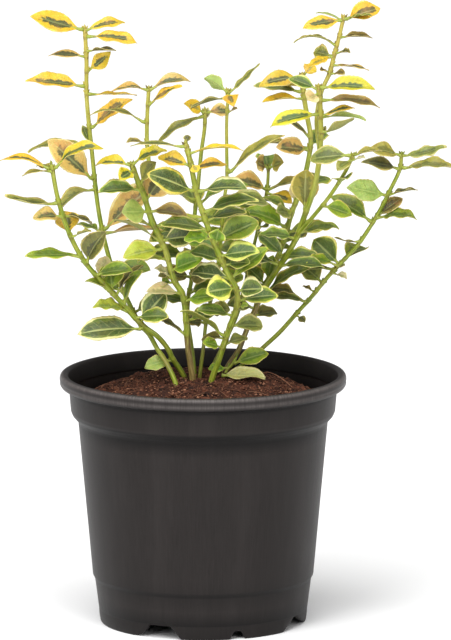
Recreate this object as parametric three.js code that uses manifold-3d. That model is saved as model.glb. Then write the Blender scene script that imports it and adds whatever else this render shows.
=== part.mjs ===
// Potted variegated euonymus: a nursery container, its root ball, ten shoots and their leaves.
// Millimetres, +Z up. The origin is on the ground at the pot's axis.
// +X is to the right of the plant's front, and -Y is towards its front.
import * as THREE from 'three';
import { mergeVertices } from 'three/addons/utils/BufferGeometryUtils.js';
import Module from 'manifold-3d';

const wasm = await Module();
wasm.setup();

// ---------------------------------------------------------------- driving dimensions
const potHeight = 149;          // ground to rim
const rimRadius = 85;           // outside of the rolled rim
const rimRoll = 8;              // height of the rolled rim
const rimOverhang = 5.6;        // how far the rim stands out from the collar
const collarDepth = 22;         // rim to the collar's shoulder
const collarStep = 4.4;         // how far the body steps in under the collar
const shoulderDepth = 7;        // height of that step
const bodyBaseRadius = 65.6;    // body just above the foot band
const footBandHeight = 27;      // ground to the step above the foot band
const footBandStep = 1.3;
const footRadius = 61.6;        // outside of the ring of feet
const footHeight = 8;           // ground to the underside of the floor
const footThickness = 3.4;
const wall = 1.5;
const floorThickness = 2;
const centrePadRadius = 14;     // the pad under the middle of the floor, which also meets the ground
const drainHoleRadius = 3.8;
const drainHoleCircle = 38;
const drainHoles = 8;
const potSegments = 60;

const soilSegments = 40;
const soilEdgeDrop = 19;        // rim to the compost at the wall
const moundRise = 17;           // compost at the wall to the top of the mound
const moundPower = 2.6;

const plantScale = 1;           // spread and height of the whole plant
const stemThickness = 1;        // factor on every shoot's radius
const stemStep = 11;            // length of one straight of a stem's bar
const rootDepth = 16;           // how far a shoot goes down into the compost
const leafThickness = 0.8;      // at the midrib
const petioleLength = 2.5;
const petioleRadius = 0.55;
const bladeFold = 0.3;          // rise of a blade's edge over its half width
const clearance = 0.3;          // between neighbouring pieces
const soilClearance = 0.45;     // between the compost and the pot and shoots
const separateLeaves = 46;      // the largest leaves are pieces of their own
const stemSides = 6;
const nodeSamples = 300;        // steps in which a node is looked for along a shoot
const leafTurns = [0, 8, -8, 16, -16, 24, -24, 34, -34, 46, -46, 60, -60, 80, -80];
const leafLifts = [0, 4, -4, 8, -8, 12];

// ---------------------------------------------------------------- shoots and leaves
// A shoot: its radius, where it leaves the compost [x, y], then points [x, y, height over the rim].
// A branch names the shoot it grows from and starts at a point on that shoot's line.
// A leaf: height of its node over the rim, tip from the node [x, y, z], width,
// lean of its upper face to the front in degrees (0 faces up), and arch as a share of its length.
const shoots = {
  left_tall: {
    radius: 1.4,
    base: [-16, -20],
    points: [[-23, -13, 11], [-27, -8, 16], [-32, -3, 24], [-37, 0, 29], [-46, 4, 46], [-53, 8, 60],
      [-57, 12, 72], [-62, 18, 95], [-66, 24, 130], [-69, 27, 162], [-69, 27, 183], [-70, 26, 203]],
    leaves: [
      [202, [-32, -6, 9], 15, 50, 0],
      [201, [24, 8, 4], 9, 35, 0.08],
      [197, [31, -8, -2], 11, 30, 0.05],
      [185, [-23, 8, 0], 9, 25, 0.03],
      [189, [18, -12, 2], 9, -5, 0.02],
      [176, [14, -6, 12], 10, 70, -0.12],
      [167, [-36, -4, 4], 13, 35, 0.02],
      [163, [30, 6, -1], 10, 5, 0],
      [142, [25, -8, 19], 11, 40, 0.05],
      [131, [-37, 5, -3], 10, 10, 0.08],
      [132, [-5, 3, 11], 5, 30, 0],
      [112, [-25, -5, 22], 14, 60, 0.06],
      [106, [-20, -6, -12], 9, 15, 0.16],
      [83, [31, 4, 26], 14, 50, 0.06],
      [82, [-15, 6, 3], 9, 5, 0.05],
      [81, [33, -5, 3], 9, 5, 0.02],
      [60, [20, -8, 2], 11, 35, 0.05],
      [48, [-16, 6, 6], 9, 30, 0.05],
      [36, [16, 4, 6], 9, 40, 0.05],
    ],
  },
  left_outer: {
    radius: 1.5,
    base: [-11, -3],
    points: [[-18, -7, 10], [-20.5, -10, 16], [-27, -15, 25], [-36, -16, 32], [-50, -19, 48], [-69, -22, 70],
      [-78, -26, 87], [-85, -29, 109], [-89, -31, 131]],
    leaves: [
      [128, [-30, 5, 4], 10, 10, 0.12],
      [128, [29, -6, 13], 10, 25, 0.16],
      [126, [-17, -10, -1], 9, 0, 0.05],
      [127, [-9, 10, 1], 7, 10, 0.05],
      [107, [-29, 7, 3], 10, 0, -0.08],
      [99, [-16, -6, 0], 10, 35, 0.05],
      [99, [16, 8, -6], 9, 10, 0.06],
      [87, [-3, 10, 12], 12, 65, 0.05],
      [86, [11, -3, 4], 7, 0, 0.03],
      [74, [-30, -4, 1], 9, 20, 0.03],
      [70, [11, -4, 18], 12, 40, 0.1],
      [52, [-1, 8, 14], 13, 65, 0.08],
      [53, [-13, -5, 6], 8, 15, 0.05],
      [58, [1, 10, 13], 8, 75, 0.05],
      [50, [15, 5, 16], 9, 0, 0.05],
      [44, [10, -4, 20], 9, 20, 0.08],
      [41, [-19, -5, 3], 10, 20, 0.05],
      [31, [-36, -8, -3], 15, 40, 0.06],
      [33, [14, 3, 16], 13, 60, 0.05],
      [9, [-17, -5, -4], 10, 45, 0.06],
      [62, [20, -6, 4], 11, 35, 0.05],
      [36, [18, -6, 2], 10, 40, 0.05],
    ],
  },
  centre_left: {
    radius: 1.8,
    base: [-6, -12],
    points: [[-9, -12, 19], [-10, -14, 34], [-12, -16, 50], [-17, -17, 59], [-22, -20, 77], [-27, -22, 89],
      [-30, -23, 95], [-34, -26, 109], [-37, -28, 117], [-42, -32, 131]],
    leaves: [
      [130, [-21, 5, -1], 11, 25, 0.08],
      [130, [20, -5, 9], 10, 30, 0.1],
      [127, [-8, -9, -4], 9, 60, 0.02],
      [115, [-23, -4, -1], 11, 30, 0.04],
      [118, [9, -3, 13], 10, 30, 0.05],
      [108, [11, 6, 14], 14, 70, 0.05],
      [101, [21, -5, -2], 10, 30, 0.06],
      [101, [-14, -8, 1], 13, 60, 0.02],
      [93, [-17, 7, 1], 8, 0, 0.03],
      [92, [26, 4, 4], 9, 15, 0.03],
      [83, [-25, 3, 11], 10, -10, 0.05],
      [79, [-22, -8, -4], 13, 45, 0.04],
      [83, [18, -4, 3], 13, 55, 0.06],
      [72, [-17, 5, -2], 9, 10, 0.05],
      [65, [17, -9, 8], 12, 50, 0.05],
      [60, [-10, -4, 6], 8, 20, 0.03],
      [58, [-8, 4, -3], 8, 30, 0.04],
      [51, [-19, -5, 2], 9, 30, 0.04],
      [25, [-22, 4, 10], 9, 5, 0.05],
      [88, [19, 14, -2], 12, 30, 0.06],
      [46, [17, -6, 4], 10, 40, 0.05],
      [34, [18, 5, 3], 10, 30, 0.05],
    ],
  },
  centre_left_top: {
    radius: 1.3,
    from: 'centre_left',
    points: [[-27, -22, 89], [-34, -12, 109], [-32, -4, 126], [-33, 0, 138], [-33, 3, 151], [-32, 5, 170]],
    leaves: [
      [169, [-22, -6, 0], 10, 15, 0.1],
      [169, [25, 5, 5], 10, 20, 0.1],
      [160, [20, -6, 13], 9, 25, 0.04],
      [150, [-34, 6, 4], 9, 5, 0.14],
      [138, [-12, -7, 2], 7, 10, 0.05],
    ],
  },
  centre_front: {
    radius: 1.7,
    base: [5, -14],
    points: [[9, -16, 10], [15, -19, 29], [20, -23, 45], [20, -26, 54], [14, -30, 67], [6, -35, 86],
      [0, -39, 103], [-4, -42, 117], [-7, -45, 133], [-10, -47, 146]],
    leaves: [
      [144, [-33, 5, 0], 9, 5, 0.03],
      [145, [1, 4, 5], 5, 20, 0],
      [132, [-19, 4, 4], 10, 45, 0.05],
      [117, [-26, -13, 11], 14, 55, 0.04],
      [139, [32, -4, 3], 8, 0, 0.07],
      [134, [4, -4, -5], 6, 60, 0],
      [130, [20, 6, 2], 10, 25, 0.03],
      [116, [28, -8, 3], 13, 30, 0.05],
      [103, [30, -6, 8], 11, 25, 0.08],
      [98, [22, 6, 4], 10, 20, 0.06],
      [83, [2, -5, 9], 9, 60, 0],
      [87, [-15, -5, 0], 10, 30, 0.05],
      [73, [-18, 4, 4], 11, 35, 0.06],
      [76, [21, -7, 4], 12, 50, 0.05],
      [84, [24, 8, 10], 14, 50, 0.05],
      [70, [14, -3, 2], 9, 45, 0.05],
      [62, [20, 4, 16], 10, 40, 0.04],
      [56, [-16, -8, -1], 14, 55, 0.04],
      [54, [14, -6, 2], 12, 50, 0.04],
      [44, [6, -2, 1], 5, 30, 0],
      [32, [18, 10, -2], 10, 50, 0.04],
      [25, [-26, -10, 17], 9, -10, 0.05],
      [24, [-14, 6, -2], 9, 20, 0.04],
      [92, [-26, 2, 3], 11, 25, 0.06],
      [62, [-22, 6, 2], 12, 40, 0.05],
      [48, [22, 4, 2], 11, 40, 0.05],
      [38, [-20, -4, 4], 9, 30, 0.06],
      [18, [-12, -5, 4], 10, 35, 0.05],
      [20, [14, 4, 3], 9, 35, 0.05],
    ],
  },
  centre_back: {
    radius: 1.3,
    base: [-5, 3],
    points: [[-7, 6, 16], [-9, 9, 30], [-9, 12, 42], [-7, 15, 53], [-6, 18, 71], [-5, 21, 91],
      [-3, 23, 109], [-1, 25, 129], [1, 26, 144], [1, 26, 154]],
    leaves: [
      [152, [-12, -7, 7], 10, 50, 0.04],
      [152, [15, 5, 0], 10, 40, 0.04],
      [150, [-29, -5, -16], 9, 20, 0.07],
      [146, [2, 3, 9], 4, 20, 0],
      [62, [4, 14, 5], 13, 30, 0.05],
      [96, [-3, 20, 6], 12, 20, 0.06],
      [100, [-29, -10, 6], 11, 10, 0.08],
      [98, [30, 4, 10], 11, 12, 0.1],
      [88, [26, -8, 2], 14, 35, 0.05],
      [80, [-24, -8, -2], 14, 40, 0.05],
      [72, [24, 8, 6], 13, 30, 0.06],
      [66, [-26, 2, 2], 12, 30, 0.06],
      [55, [-18, -6, 2], 11, 40, 0.05],
      [46, [16, -4, 4], 10, 40, 0.05],
      [40, [-14, 6, 2], 9, 30, 0.05],
    ],
  },
  centre_thin: {
    radius: 1.1,
    base: [-2, -3],
    points: [[0, -2, 14], [2, 0, 32], [5, 1, 46], [10, 3, 73], [12, 3, 100], [14, 2, 115],
      [14, 0, 134], [14, -3, 152], [15, -6, 170]],
    leaves: [
      [169, [-14, 6, 8], 10, -60, 0.05],
      [169, [18, 4, 17], 7, 10, -0.05],
      [168, [3, -13, -5], 10, 45, 0.08],
      [166, [-22, -4, -6], 10, -8, 0.04],
      [157, [6, -5, 3], 5, 20, 0],
      [120, [31, -4, 22], 10, 15, 0.05],
      [61, [-14, 6, -6], 12, 50, 0.04],
      [43, [-10, 6, 0], 9, 30, 0.04],
      [88, [15, 13, 4], 12, 20, 0.06],
      [62, [10, 15, 2], 11, 30, 0.05],
      [104, [24, 8, -4], 12, 30, 0.06],
      [82, [21, -9, 6], 13, 40, 0.05],
      [74, [-20, 4, 4], 12, 35, 0.05],
      [52, [16, 6, 4], 12, 35, 0.05],
      [36, [12, -6, 3], 10, 40, 0.05],
      [30, [-12, -5, 2], 10, 40, 0.05],
    ],
  },
  back_thin: {
    radius: 1.1,
    base: [5, 28],
    points: [[12, 32, 11], [21, 40, 30], [28, 48, 59], [35, 53, 87], [38, 55, 100], [39, 55, 115]],
    leaves: [
      [114, [-7, -5, 4], 10, 50, 0.03],
      [114, [8, -4, 4], 10, 50, 0.03],
      [113, [-2, 20, 5], 11, 10, 0.05],
      [101, [-20, -6, 5], 12, 35, 0.06],
      [101, [25, -5, 5], 9, 15, 0.05],
      [99, [14, -7, -4], 9, 30, 0.05],
      [78, [-4, 22, 4], 13, 15, 0.06],
      [76, [5, -15, 6], 10, 30, 0.05],
      [52, [-16, 10, 4], 11, 20, 0.05],
      [50, [16, 12, 2], 11, 20, 0.05],
      [88, [-22, 6, 4], 12, 25, 0.06],
      [64, [-18, -8, 3], 12, 30, 0.05],
      [66, [20, -4, 2], 11, 30, 0.05],
      [38, [14, -6, 3], 10, 30, 0.05],
      [36, [-14, 6, 2], 10, 30, 0.05],
    ],
  },
  right_back: {
    radius: 1.6,
    base: [13, 18],
    points: [[21, 20, 10], [24, 22, 17], [28, 24, 27], [32, 26, 36], [36, 28, 45], [43, 31, 61], [47, 33, 71],
      [53, 37, 91], [59, 40, 106], [64, 45, 132], [62, 47, 146], [60, 49, 158], [59, 50, 171]],
    leaves: [
      [170, [-26, -8, -4], 12, 50, 0.04],
      [170, [7, 6, 6], 9, 60, 0.03],
      [164, [-12, 6, 1], 9, 30, 0.03],
      [161, [-30, 12, 2], 11, 25, 0.03],
      [157, [-25, -7, -1], 9, 10, 0.04],
      [134, [-17, -6, 12], 9, 20, 0.04],
      [126, [-19, -6, 3], 11, 60, 0.03],
      [127, [-31, 6, 2], 9, 0, 0.04],
      [128, [8, 20, 5], 12, 20, 0.05],
      [90, [-22, 5, 6], 10, 10, 0.12],
      [81, [-24, -6, 10], 13, 40, 0.1],
      [89, [-8, -10, 3], 10, 50, 0.03],
      [95, [0, 5, 12], 6, 70, 0],
      [104, [16, 17, 3], 12, 20, 0.06],
      [72, [12, 19, 3], 12, 20, 0.06],
      [50, [3, -5, 15], 9, 45, 0.03],
      [48, [-10, 4, 9], 9, 45, 0.03],
      [43, [27, -7, 16], 9, 25, 0.1],
      [45, [17, -3, -1], 9, 25, 0.05],
      [60, [-25, -4, 4], 12, 30, 0.05],
      [64, [24, -6, 0], 11, 25, 0.06],
      [34, [-16, -4, 3], 10, 35, 0.05],
      [30, [14, 6, 1], 10, 30, 0.05],
      [78, [22, 8, 2], 11, 25, 0.05],
    ],
  },
  right_front: {
    radius: 1.7,
    from: 'right_back',
    points: [[36, 28, 45], [41, 22, 54], [49, 12, 68], [55, 5, 80], [60, -2, 95], [66, -8, 114],
      [69, -13, 136], [69, -17, 161], [68, -19, 175]],
    leaves: [
      [174, [33, -8, 1], 12, 38, 0.05],
      [173, [-18, 4, 6], 10, 40, 0.03],
      [171, [-7, -8, -3], 10, 60, 0.02],
      [158, [-30, -7, -6], 12, 38, 0.06],
      [157, [20, -4, 6], 9, 20, 0.03],
      [156, [27, 4, -2], 9, -15, 0.04],
      [166, [36, 7, -5], 10, 20, 0.06],
      [147, [19, -4, 9], 10, -20, -0.12],
      [144, [3, -2, 7], 3, 40, 0],
      [97, [0, 7, 22], 14, 60, 0.05],
      [67, [-15, 6, 13], 9, 30, 0.04],
      [62, [-26, -4, 6], 11, 30, 0.05],
      [62, [24, -6, 0], 10, 25, 0.05],
      [80, [-20, -6, 3], 10, 30, 0.05],
      [84, [22, 4, 2], 10, 20, 0.05],
    ],
  },
  right_tall: {
    radius: 1.3,
    from: 'right_front',
    points: [[69, -12, 133], [67, -6, 153], [70, 0, 169], [75, 4, 180], [77, 6, 188], [80, 8, 199],
      [83, 8, 212]],
    leaves: [
      [211, [22, 8, 5], 13, 45, 0.03],
      [211, [17, -4, 3], 9, 0, 0.03],
      [210, [-24, -8, -3], 11, 42, 0.04],
      [210, [-16, 6, 4], 6, 0, 0.05],
      [195, [-26, 3, 2], 7, -5, 0.16],
      [200, [20, 5, -1], 8, 10, 0.03],
      [189, [-12, 5, 2], 10, 60, 0.03],
      [189, [-15, -6, -5], 9, 20, 0.03],
      [191, [9, -4, 1], 8, 10, 0.02],
      [184, [22, -5, -2], 7, 0, 0.02],
      [179, [9, -5, 1], 8, 20, 0.02],
      [180, [-6, -4, 2], 6, 20, 0],
    ],
  },
  right_low: {
    radius: 1.2,
    from: 'right_front',
    points: [[56, 3, 83], [67, -14, 99], [76, -27, 113], [85, -38, 130], [88, -42, 138]],
    leaves: [
      [137, [-25, 6, -3], 13, 50, 0.05],
      [138, [17, 5, 2], 8, 10, 0.03],
      [135, [-8, -12, -4], 8, 30, 0.03],
      [135, [8, -4, 2], 6, 10, 0],
      [104, [16, 4, -6], 10, 50, 0.03],
      [120, [4, -18, 5], 11, 30, 0.05],
    ],
  },
  right_outer: {
    radius: 1.3,
    base: [20, 25],
    points: [[35, 26, 10], [46, 28, 20], [56, 30, 31], [65, 31, 41], [75, 33, 53], [92, 36, 71], [99, 37, 81],
      [105, 38, 91], [111, 39, 103], [117, 40, 116], [118, 40, 125]],
    leaves: [
      [124, [-18, -7, 5], 11, 40, 0.04],
      [124, [25, 6, 5], 9, 30, -0.08],
      [117, [30, -8, 1], 12, 20, 0.04],
      [116, [-21, -6, 5], 10, 30, 0.04],
      [100, [-22, -7, 6], 12, 62, 0.03],
      [101, [16, 5, 2], 6, 0, 0.02],
      [84, [-23, 6, 13], 12, 35, 0.06],
      [87, [22, -8, 1], 12, 20, 0.05],
      [88, [14, 6, 9], 9, 40, 0.04],
      [73, [-14, -4, 3], 6, -5, -0.08],
      [59, [-14, 5, 13], 14, 70, 0.03],
      [58, [-17, -20, 6], 10, 30, 0.04],
      [56, [-27, 3, -2], 9, 15, 0.05],
      [48, [-11, 5, 9], 11, 50, 0.03],
      [55, [8, -3, -3], 5, 20, 0],
      [57, [5, 3, 2], 4, 20, 0],
      [62, [12, 18, 3], 12, 20, 0.06],
      [37, [-19, -6, 4], 9, 25, 0.04],
      [43, [-7, 2, 3], 4, 10, 0],
      [30, [5, -3, -4], 5, 30, 0],
    ],
  },
  ground_shoot: {
    radius: 0.9,
    base: [13, 8],
    points: [[15, 10, 1], [18, 11, 4], [20, 12, 8]],
    leaves: [
      [4, [21, 2, 6], 12, 55, 0.05],
      [1, [-12, -6, 1], 7, 50, 0.03],
    ],
  },
};

// The leaf that has dropped on the compost: where its middle lies, its length, width, heading and lean.
const fallenLeaf = { x: 24, y: -7, length: 26, width: 12, heading: -4, lean: 30 };

// ---------------------------------------------------------------- solids
const degrees = THREE.MathUtils.degToRad;

/** A closed geometry as a manifold solid. */
function solidOf(geometry) {
  const bare = geometry.clone();
  bare.deleteAttribute('normal');
  bare.deleteAttribute('uv');
  const merged = mergeVertices(bare, 1e-4);
  return new wasm.Manifold(new wasm.Mesh({
    numProp: 3,
    vertProperties: new Float32Array(merged.attributes.position.array),
    triVerts: new Uint32Array(merged.index.array),
  }));
}

/** A manifold solid as a geometry. */
function geometryOf(solid) {
  const mesh = solid.getMesh();
  const geometry = new THREE.BufferGeometry();
  geometry.setAttribute('position', new THREE.BufferAttribute(new Float32Array(mesh.vertProperties), 3));
  geometry.setIndex(new THREE.BufferAttribute(new Uint32Array(mesh.triVerts), 1));
  geometry.computeVertexNormals();
  return geometry;
}

/** A solid of revolution about Z from a profile of [radius, height] that ends where it starts. */
function turned(profile, segments) {
  const geometry = new THREE.LatheGeometry(profile.map(([r, z]) => new THREE.Vector2(r, z)), segments);
  geometry.rotateX(Math.PI / 2);
  return solidOf(geometry);
}

/** A round bar along a curve. */
function bar(curve, radius, steps, sides) {
  const section = new THREE.Shape();
  section.absarc(0, 0, radius, 0, 2 * Math.PI, false);
  // A full arc takes twice its curveSegments.
  const options = { steps, curveSegments: sides / 2, extrudePath: curve };
  return solidOf(new THREE.ExtrudeGeometry(section, options));
}

// ---------------------------------------------------------------- pot
const collarRadius = rimRadius - rimOverhang;
const shoulderTop = potHeight - collarDepth;
const bodyTop = shoulderTop - shoulderDepth;
const bodyTopRadius = collarRadius - 1 - collarStep;
const bandRadius = bodyBaseRadius - footBandStep;

// The wall outside, from the ground up to the rolled rim: [radius, height].
const wallOutside = [
  [footRadius + 0.4, footHeight],
  [bandRadius, footBandHeight - 1],
  [bodyBaseRadius, footBandHeight + 1.5],
  [bodyTopRadius, bodyTop],
  [bodyTopRadius + 0.6, bodyTop + 1.6],
  [collarRadius - 2, shoulderTop - 2.4],
  [collarRadius - 1, shoulderTop],
  [collarRadius, potHeight - rimRoll - 2.4],
];

/** Radius of the wall's inside at a height, which is where the compost ends. */
function insideRadius(height) {
  for (let i = 1; i < wallOutside.length; i += 1) {
    const [r0, z0] = wallOutside[i - 1];
    const [r1, z1] = wallOutside[i];
    if (height <= z1) {
      return r0 + (r1 - r0) * Math.max(0, (height - z0) / (z1 - z0)) - wall;
    }
  }
  return collarRadius - wall;
}

/** The opening between two feet, cut along the radius at an angle from the front, towards +X. */
function footGap(outline, angle) {
  const shape = new THREE.Shape(outline.map(([along, up]) => new THREE.Vector2(along, up)));
  const reach = 2 * footRadius;
  const geometry = new THREE.ExtrudeGeometry(shape, { depth: reach, bevelEnabled: false, curveSegments: 8 });
  geometry.translate(0, 0, 0.5 * footRadius);
  geometry.rotateX(Math.PI / 2);
  geometry.rotateZ(degrees(angle));
  return solidOf(geometry);
}

/** The rolled rim's section, from the collar's outside over the crest to the wall's inside. */
function rimSection() {
  const inner = rimRadius - rimOverhang + 0.6;
  return [
    [collarRadius + 1.6, potHeight - rimRoll],
    [rimRadius - 1.4, potHeight - rimRoll + 1.6],
    [rimRadius, potHeight - rimRoll + 3.8],
    [rimRadius, potHeight - 2],
    [rimRadius - 0.7, potHeight - 0.6],
    [rimRadius - 2.2, potHeight],
    [inner + 1, potHeight],
    [inner, potHeight - 1],
  ];
}

function makePot() {
  const floorTop = footHeight + floorThickness;
  const inside = wallOutside.slice(1).reverse().map(([r, z]) => [r - wall, z]);
  const shell = turned([
    [0, footHeight],
    ...wallOutside,
    ...rimSection(),
    ...inside,
    [insideRadius(floorTop), floorTop],
    [0, floorTop],
  ], potSegments);
  const sunk = 0.5;
  const ring = turned([
    [footRadius - footThickness, 0],
    [footRadius - 1, 0],
    [footRadius, footHeight + sunk],
    [footRadius - footThickness, footHeight + sunk],
    [footRadius - footThickness, 0],
  ], potSegments);
  const below = -1;
  const roundThenSlant = [
    [-16.5, below], [-16.5, 0], [-12, 0.9], [-8, 3.4], [-4.5, footHeight],
    [9, footHeight], [16, 0], [16, below],
  ];
  const slantThenRound = [
    [-16, below], [-16, 0], [-4, footHeight], [-2, footHeight],
    [2.4, 5.6], [6.5, 3.6], [12.5, 1.7], [18, 0], [18, below],
  ];
  const arch = [
    [-5, below], [-4.6, 1.2], [-3.6, 3.6], [-1.6, 4.9],
    [1.4, 4.9], [3, 3.6], [4, 1.2], [4.6, below],
  ];
  let feet = ring;
  for (const half of [0, 180]) {
    feet = feet
      .subtract(footGap(roundThenSlant, half - 27))
      .subtract(footGap(slantThenRound, half + 66))
      .subtract(footGap(arch, half + 20));
  }
  const pad = turned([
    [0, 0],
    [centrePadRadius - 1, 0],
    [centrePadRadius, footHeight + sunk],
    [0, footHeight + sunk],
  ], 24);
  let pot = shell.add(feet).add(pad);
  for (let i = 0; i < drainHoles; i += 1) {
    const hole = new THREE.CylinderGeometry(drainHoleRadius, drainHoleRadius, floorThickness + 2, 10);
    hole.rotateX(Math.PI / 2);
    hole.translate(drainHoleCircle, 0, footHeight + floorThickness / 2);
    hole.rotateZ(degrees((i + 0.5) * 360 / drainHoles));
    pot = pot.subtract(solidOf(hole));
  }
  return pot;
}

// ---------------------------------------------------------------- compost
const soilEdge = potHeight - soilEdgeDrop;
const soilEdgeRadius = insideRadius(soilEdge) - soilClearance;

/** Height of the compost at a distance from the pot's axis. */
function soilHeight(radius) {
  return soilEdge + moundRise * (1 - Math.min(1, radius / soilEdgeRadius) ** moundPower);
}

function makeSoil(holes) {
  const bottom = footHeight + floorThickness + soilClearance;
  const rings = 6;
  const side = wallOutside.filter(([, z]) => z > bottom && z < soilEdge)
    .map(([r, z]) => [r - wall - soilClearance, z]);
  const mound = [];
  for (let i = 0; i <= rings; i += 1) {
    const r = soilEdgeRadius * (1 - i / rings);
    mound.push([r, soilHeight(r)]);
  }
  const corner = [insideRadius(bottom) - soilClearance, bottom];
  let soil = turned([[0, bottom], corner, ...side, ...mound], soilSegments);
  for (const hole of holes) {
    soil = soil.subtract(hole);
  }
  return soil;
}

// ---------------------------------------------------------------- stems
/** A shoot's line, down into the compost when it grows from it. */
function lineOf(shoot) {
  const points = shoot.points.map(([x, y, z]) => new THREE.Vector3(x, y, z)
    .multiplyScalar(plantScale).add(new THREE.Vector3(0, 0, potHeight)));
  if (shoot.base) {
    const [x, y] = shoot.base.map((value) => value * plantScale);
    const surface = soilHeight(Math.hypot(x, y));
    const foot = new THREE.Vector3(x, y, surface);
    const away = points[0].clone().sub(foot).normalize();
    points.unshift(foot);
    points.unshift(foot.clone().addScaledVector(away, -0.4 * rootDepth).setZ(surface - rootDepth));
  }
  return new THREE.CatmullRomCurve3(points);
}

/** Where a line passes a height, and its heading there. */
function nodeAt(line, height) {
  let i = 1;
  while (i < nodeSamples && line.getPoint(i / nodeSamples).z < height) {
    i += 1;
  }
  return { point: line.getPoint(i / nodeSamples), heading: line.getTangent(i / nodeSamples) };
}

// ---------------------------------------------------------------- leaves
// Half width of a blade at shares of its length, as a share of its greatest half width.
const bladeOutline = [[0, 0.1], [0.24, 0.76], [0.48, 1], [0.78, 0.7]];

/** A closed blade and petiole from start to tip: four-cornered sections along an arched midrib. */
function leafSolid(start, tip, leaf) {
  const chord = tip.clone().sub(start);
  const length = chord.length();
  const along = chord.clone().normalize();
  const lean = degrees(leaf.lean);
  const face = new THREE.Vector3(0, -Math.sin(lean), Math.cos(lean));
  face.addScaledVector(along, -face.dot(along)).normalize();
  const side = face.clone().cross(along);
  const middle = start.clone().add(tip).multiplyScalar(0.5).addScaledVector(face, 2 * leaf.arch * length);
  const midrib = new THREE.QuadraticBezierCurve3(start, middle, tip);
  const stalk = Math.min(0.3, petioleLength * plantScale / length);
  const stations = [[0, 0.6 * petioleRadius / (leaf.width / 2)]];
  for (const [share, half] of bladeOutline) {
    stations.push([stalk + (1 - stalk) * share, half]);
  }
  const positions = [];
  for (const [at, half] of stations) {
    const centre = midrib.getPoint(at);
    const up = midrib.getTangent(at).cross(side).normalize();
    const reach = Math.max(petioleRadius, half * leaf.width / 2);
    const edge = centre.clone().addScaledVector(up, bladeFold * (reach - petioleRadius));
    positions.push(
      ...edge.clone().addScaledVector(side, -reach).toArray(),
      ...centre.clone().addScaledVector(up, leafThickness / 2).toArray(),
      ...edge.clone().addScaledVector(side, reach).toArray(),
      ...centre.clone().addScaledVector(up, -leafThickness / 2).toArray(),
    );
  }
  positions.push(...tip.toArray());
  const index = [0, 1, 2, 0, 2, 3];
  const last = stations.length - 1;
  for (let i = 0; i < last; i += 1) {
    for (let corner = 0; corner < 4; corner += 1) {
      const a = 4 * i + corner;
      const b = 4 * i + (corner + 1) % 4;
      // The diagonals on the two faces of a half blade run between the same corners.
      if (corner % 2 === 0) {
        index.push(a, a + 4, b + 4, a, b + 4, b);
      } else {
        index.push(a, a + 4, b, b, a + 4, b + 4);
      }
    }
  }
  for (let corner = 0; corner < 4; corner += 1) {
    index.push(4 * last + corner, 4 * last + 4, 4 * last + (corner + 1) % 4);
  }
  const geometry = new THREE.BufferGeometry();
  geometry.setAttribute('position', new THREE.Float32BufferAttribute(positions, 3));
  geometry.setIndex(index);
  return solidOf(geometry);
}

/** Two boxes are nearer than the clearance. */
function boxesMeet(a, b) {
  return [0, 1, 2].every((axis) => a.min[axis] < b.max[axis] + clearance
    && b.min[axis] < a.max[axis] + clearance);
}

/** A solid keeps the clearance to every other one. */
function isClear(solid, others) {
  const box = solid.boundingBox();
  return others.every((other) => !boxesMeet(box, other.box)
    || solid.minGap(other.solid, clearance) >= 0.8 * clearance);
}

/** A leaf finds free room: it turns about its node, and then lifts, until it clears what is there. */
function growLeaf(leaf, node, radius, joined, others) {
  let solid = null;
  for (const lift of leafLifts) {
    for (const turn of leafTurns) {
      const reach = new THREE.Vector3(...leaf.tip).multiplyScalar(plantScale);
      reach.applyAxisAngle(new THREE.Vector3(0, 0, 1), degrees(turn)).add(new THREE.Vector3(0, 0, lift));
      const out = reach.clone().normalize();
      out.addScaledVector(node.heading, -out.dot(node.heading)).normalize();
      const seat = joined ? 0.3 * radius : radius + clearance + 0.4 * leafThickness;
      solid = leafSolid(node.point.clone().addScaledVector(out, seat), node.point.clone().add(reach), leaf);
      if (isClear(solid, others)) {
        return solid;
      }
    }
  }
  return solid;
}

// ---------------------------------------------------------------- the plant
const plant = new THREE.Group();

function addPiece(name, solid, color, roughness) {
  const material = new THREE.MeshStandardMaterial({ color, roughness, metalness: 0 });
  const mesh = new THREE.Mesh(geometryOf(solid), material);
  mesh.name = name;
  plant.add(mesh);
}

const taken = [];
function take(owner, solid) {
  taken.push({ owner, solid, box: solid.boundingBox() });
}

const pot = makePot();
addPiece('pot', pot, 0x2f2d2e, 0.5);
take('pot', pot);

// Stems: a shoot and its branches are one piece.
const stems = {};
const holes = [];
const lines = {};
for (const [name, shoot] of Object.entries(shoots)) {
  const line = lineOf(shoot);
  const radius = shoot.radius * stemThickness;
  const steps = Math.max(4, Math.round(line.getLength() / stemStep));
  const stem = bar(line, radius, steps, stemSides);
  const owner = shoot.from ? lines[shoot.from].owner : name;
  lines[name] = { line, radius, owner };
  stems[owner] = stems[owner] ? stems[owner].add(stem) : stem;
  if (shoot.base) {
    const down = new THREE.Vector3(0, 0, -1.5 * soilClearance);
    const lower = new THREE.CatmullRomCurve3(line.points.map((point) => point.clone().add(down)));
    for (const path of [line, lower]) {
      holes.push(bar(path, radius + soilClearance, steps, stemSides));
    }
  }
}
const soil = makeSoil(holes);
addPiece('soil', soil, 0x4a2a1c, 0.95);
take('soil', soil);
for (const [owner, solid] of Object.entries(stems)) {
  take(owner, solid);
}

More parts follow.
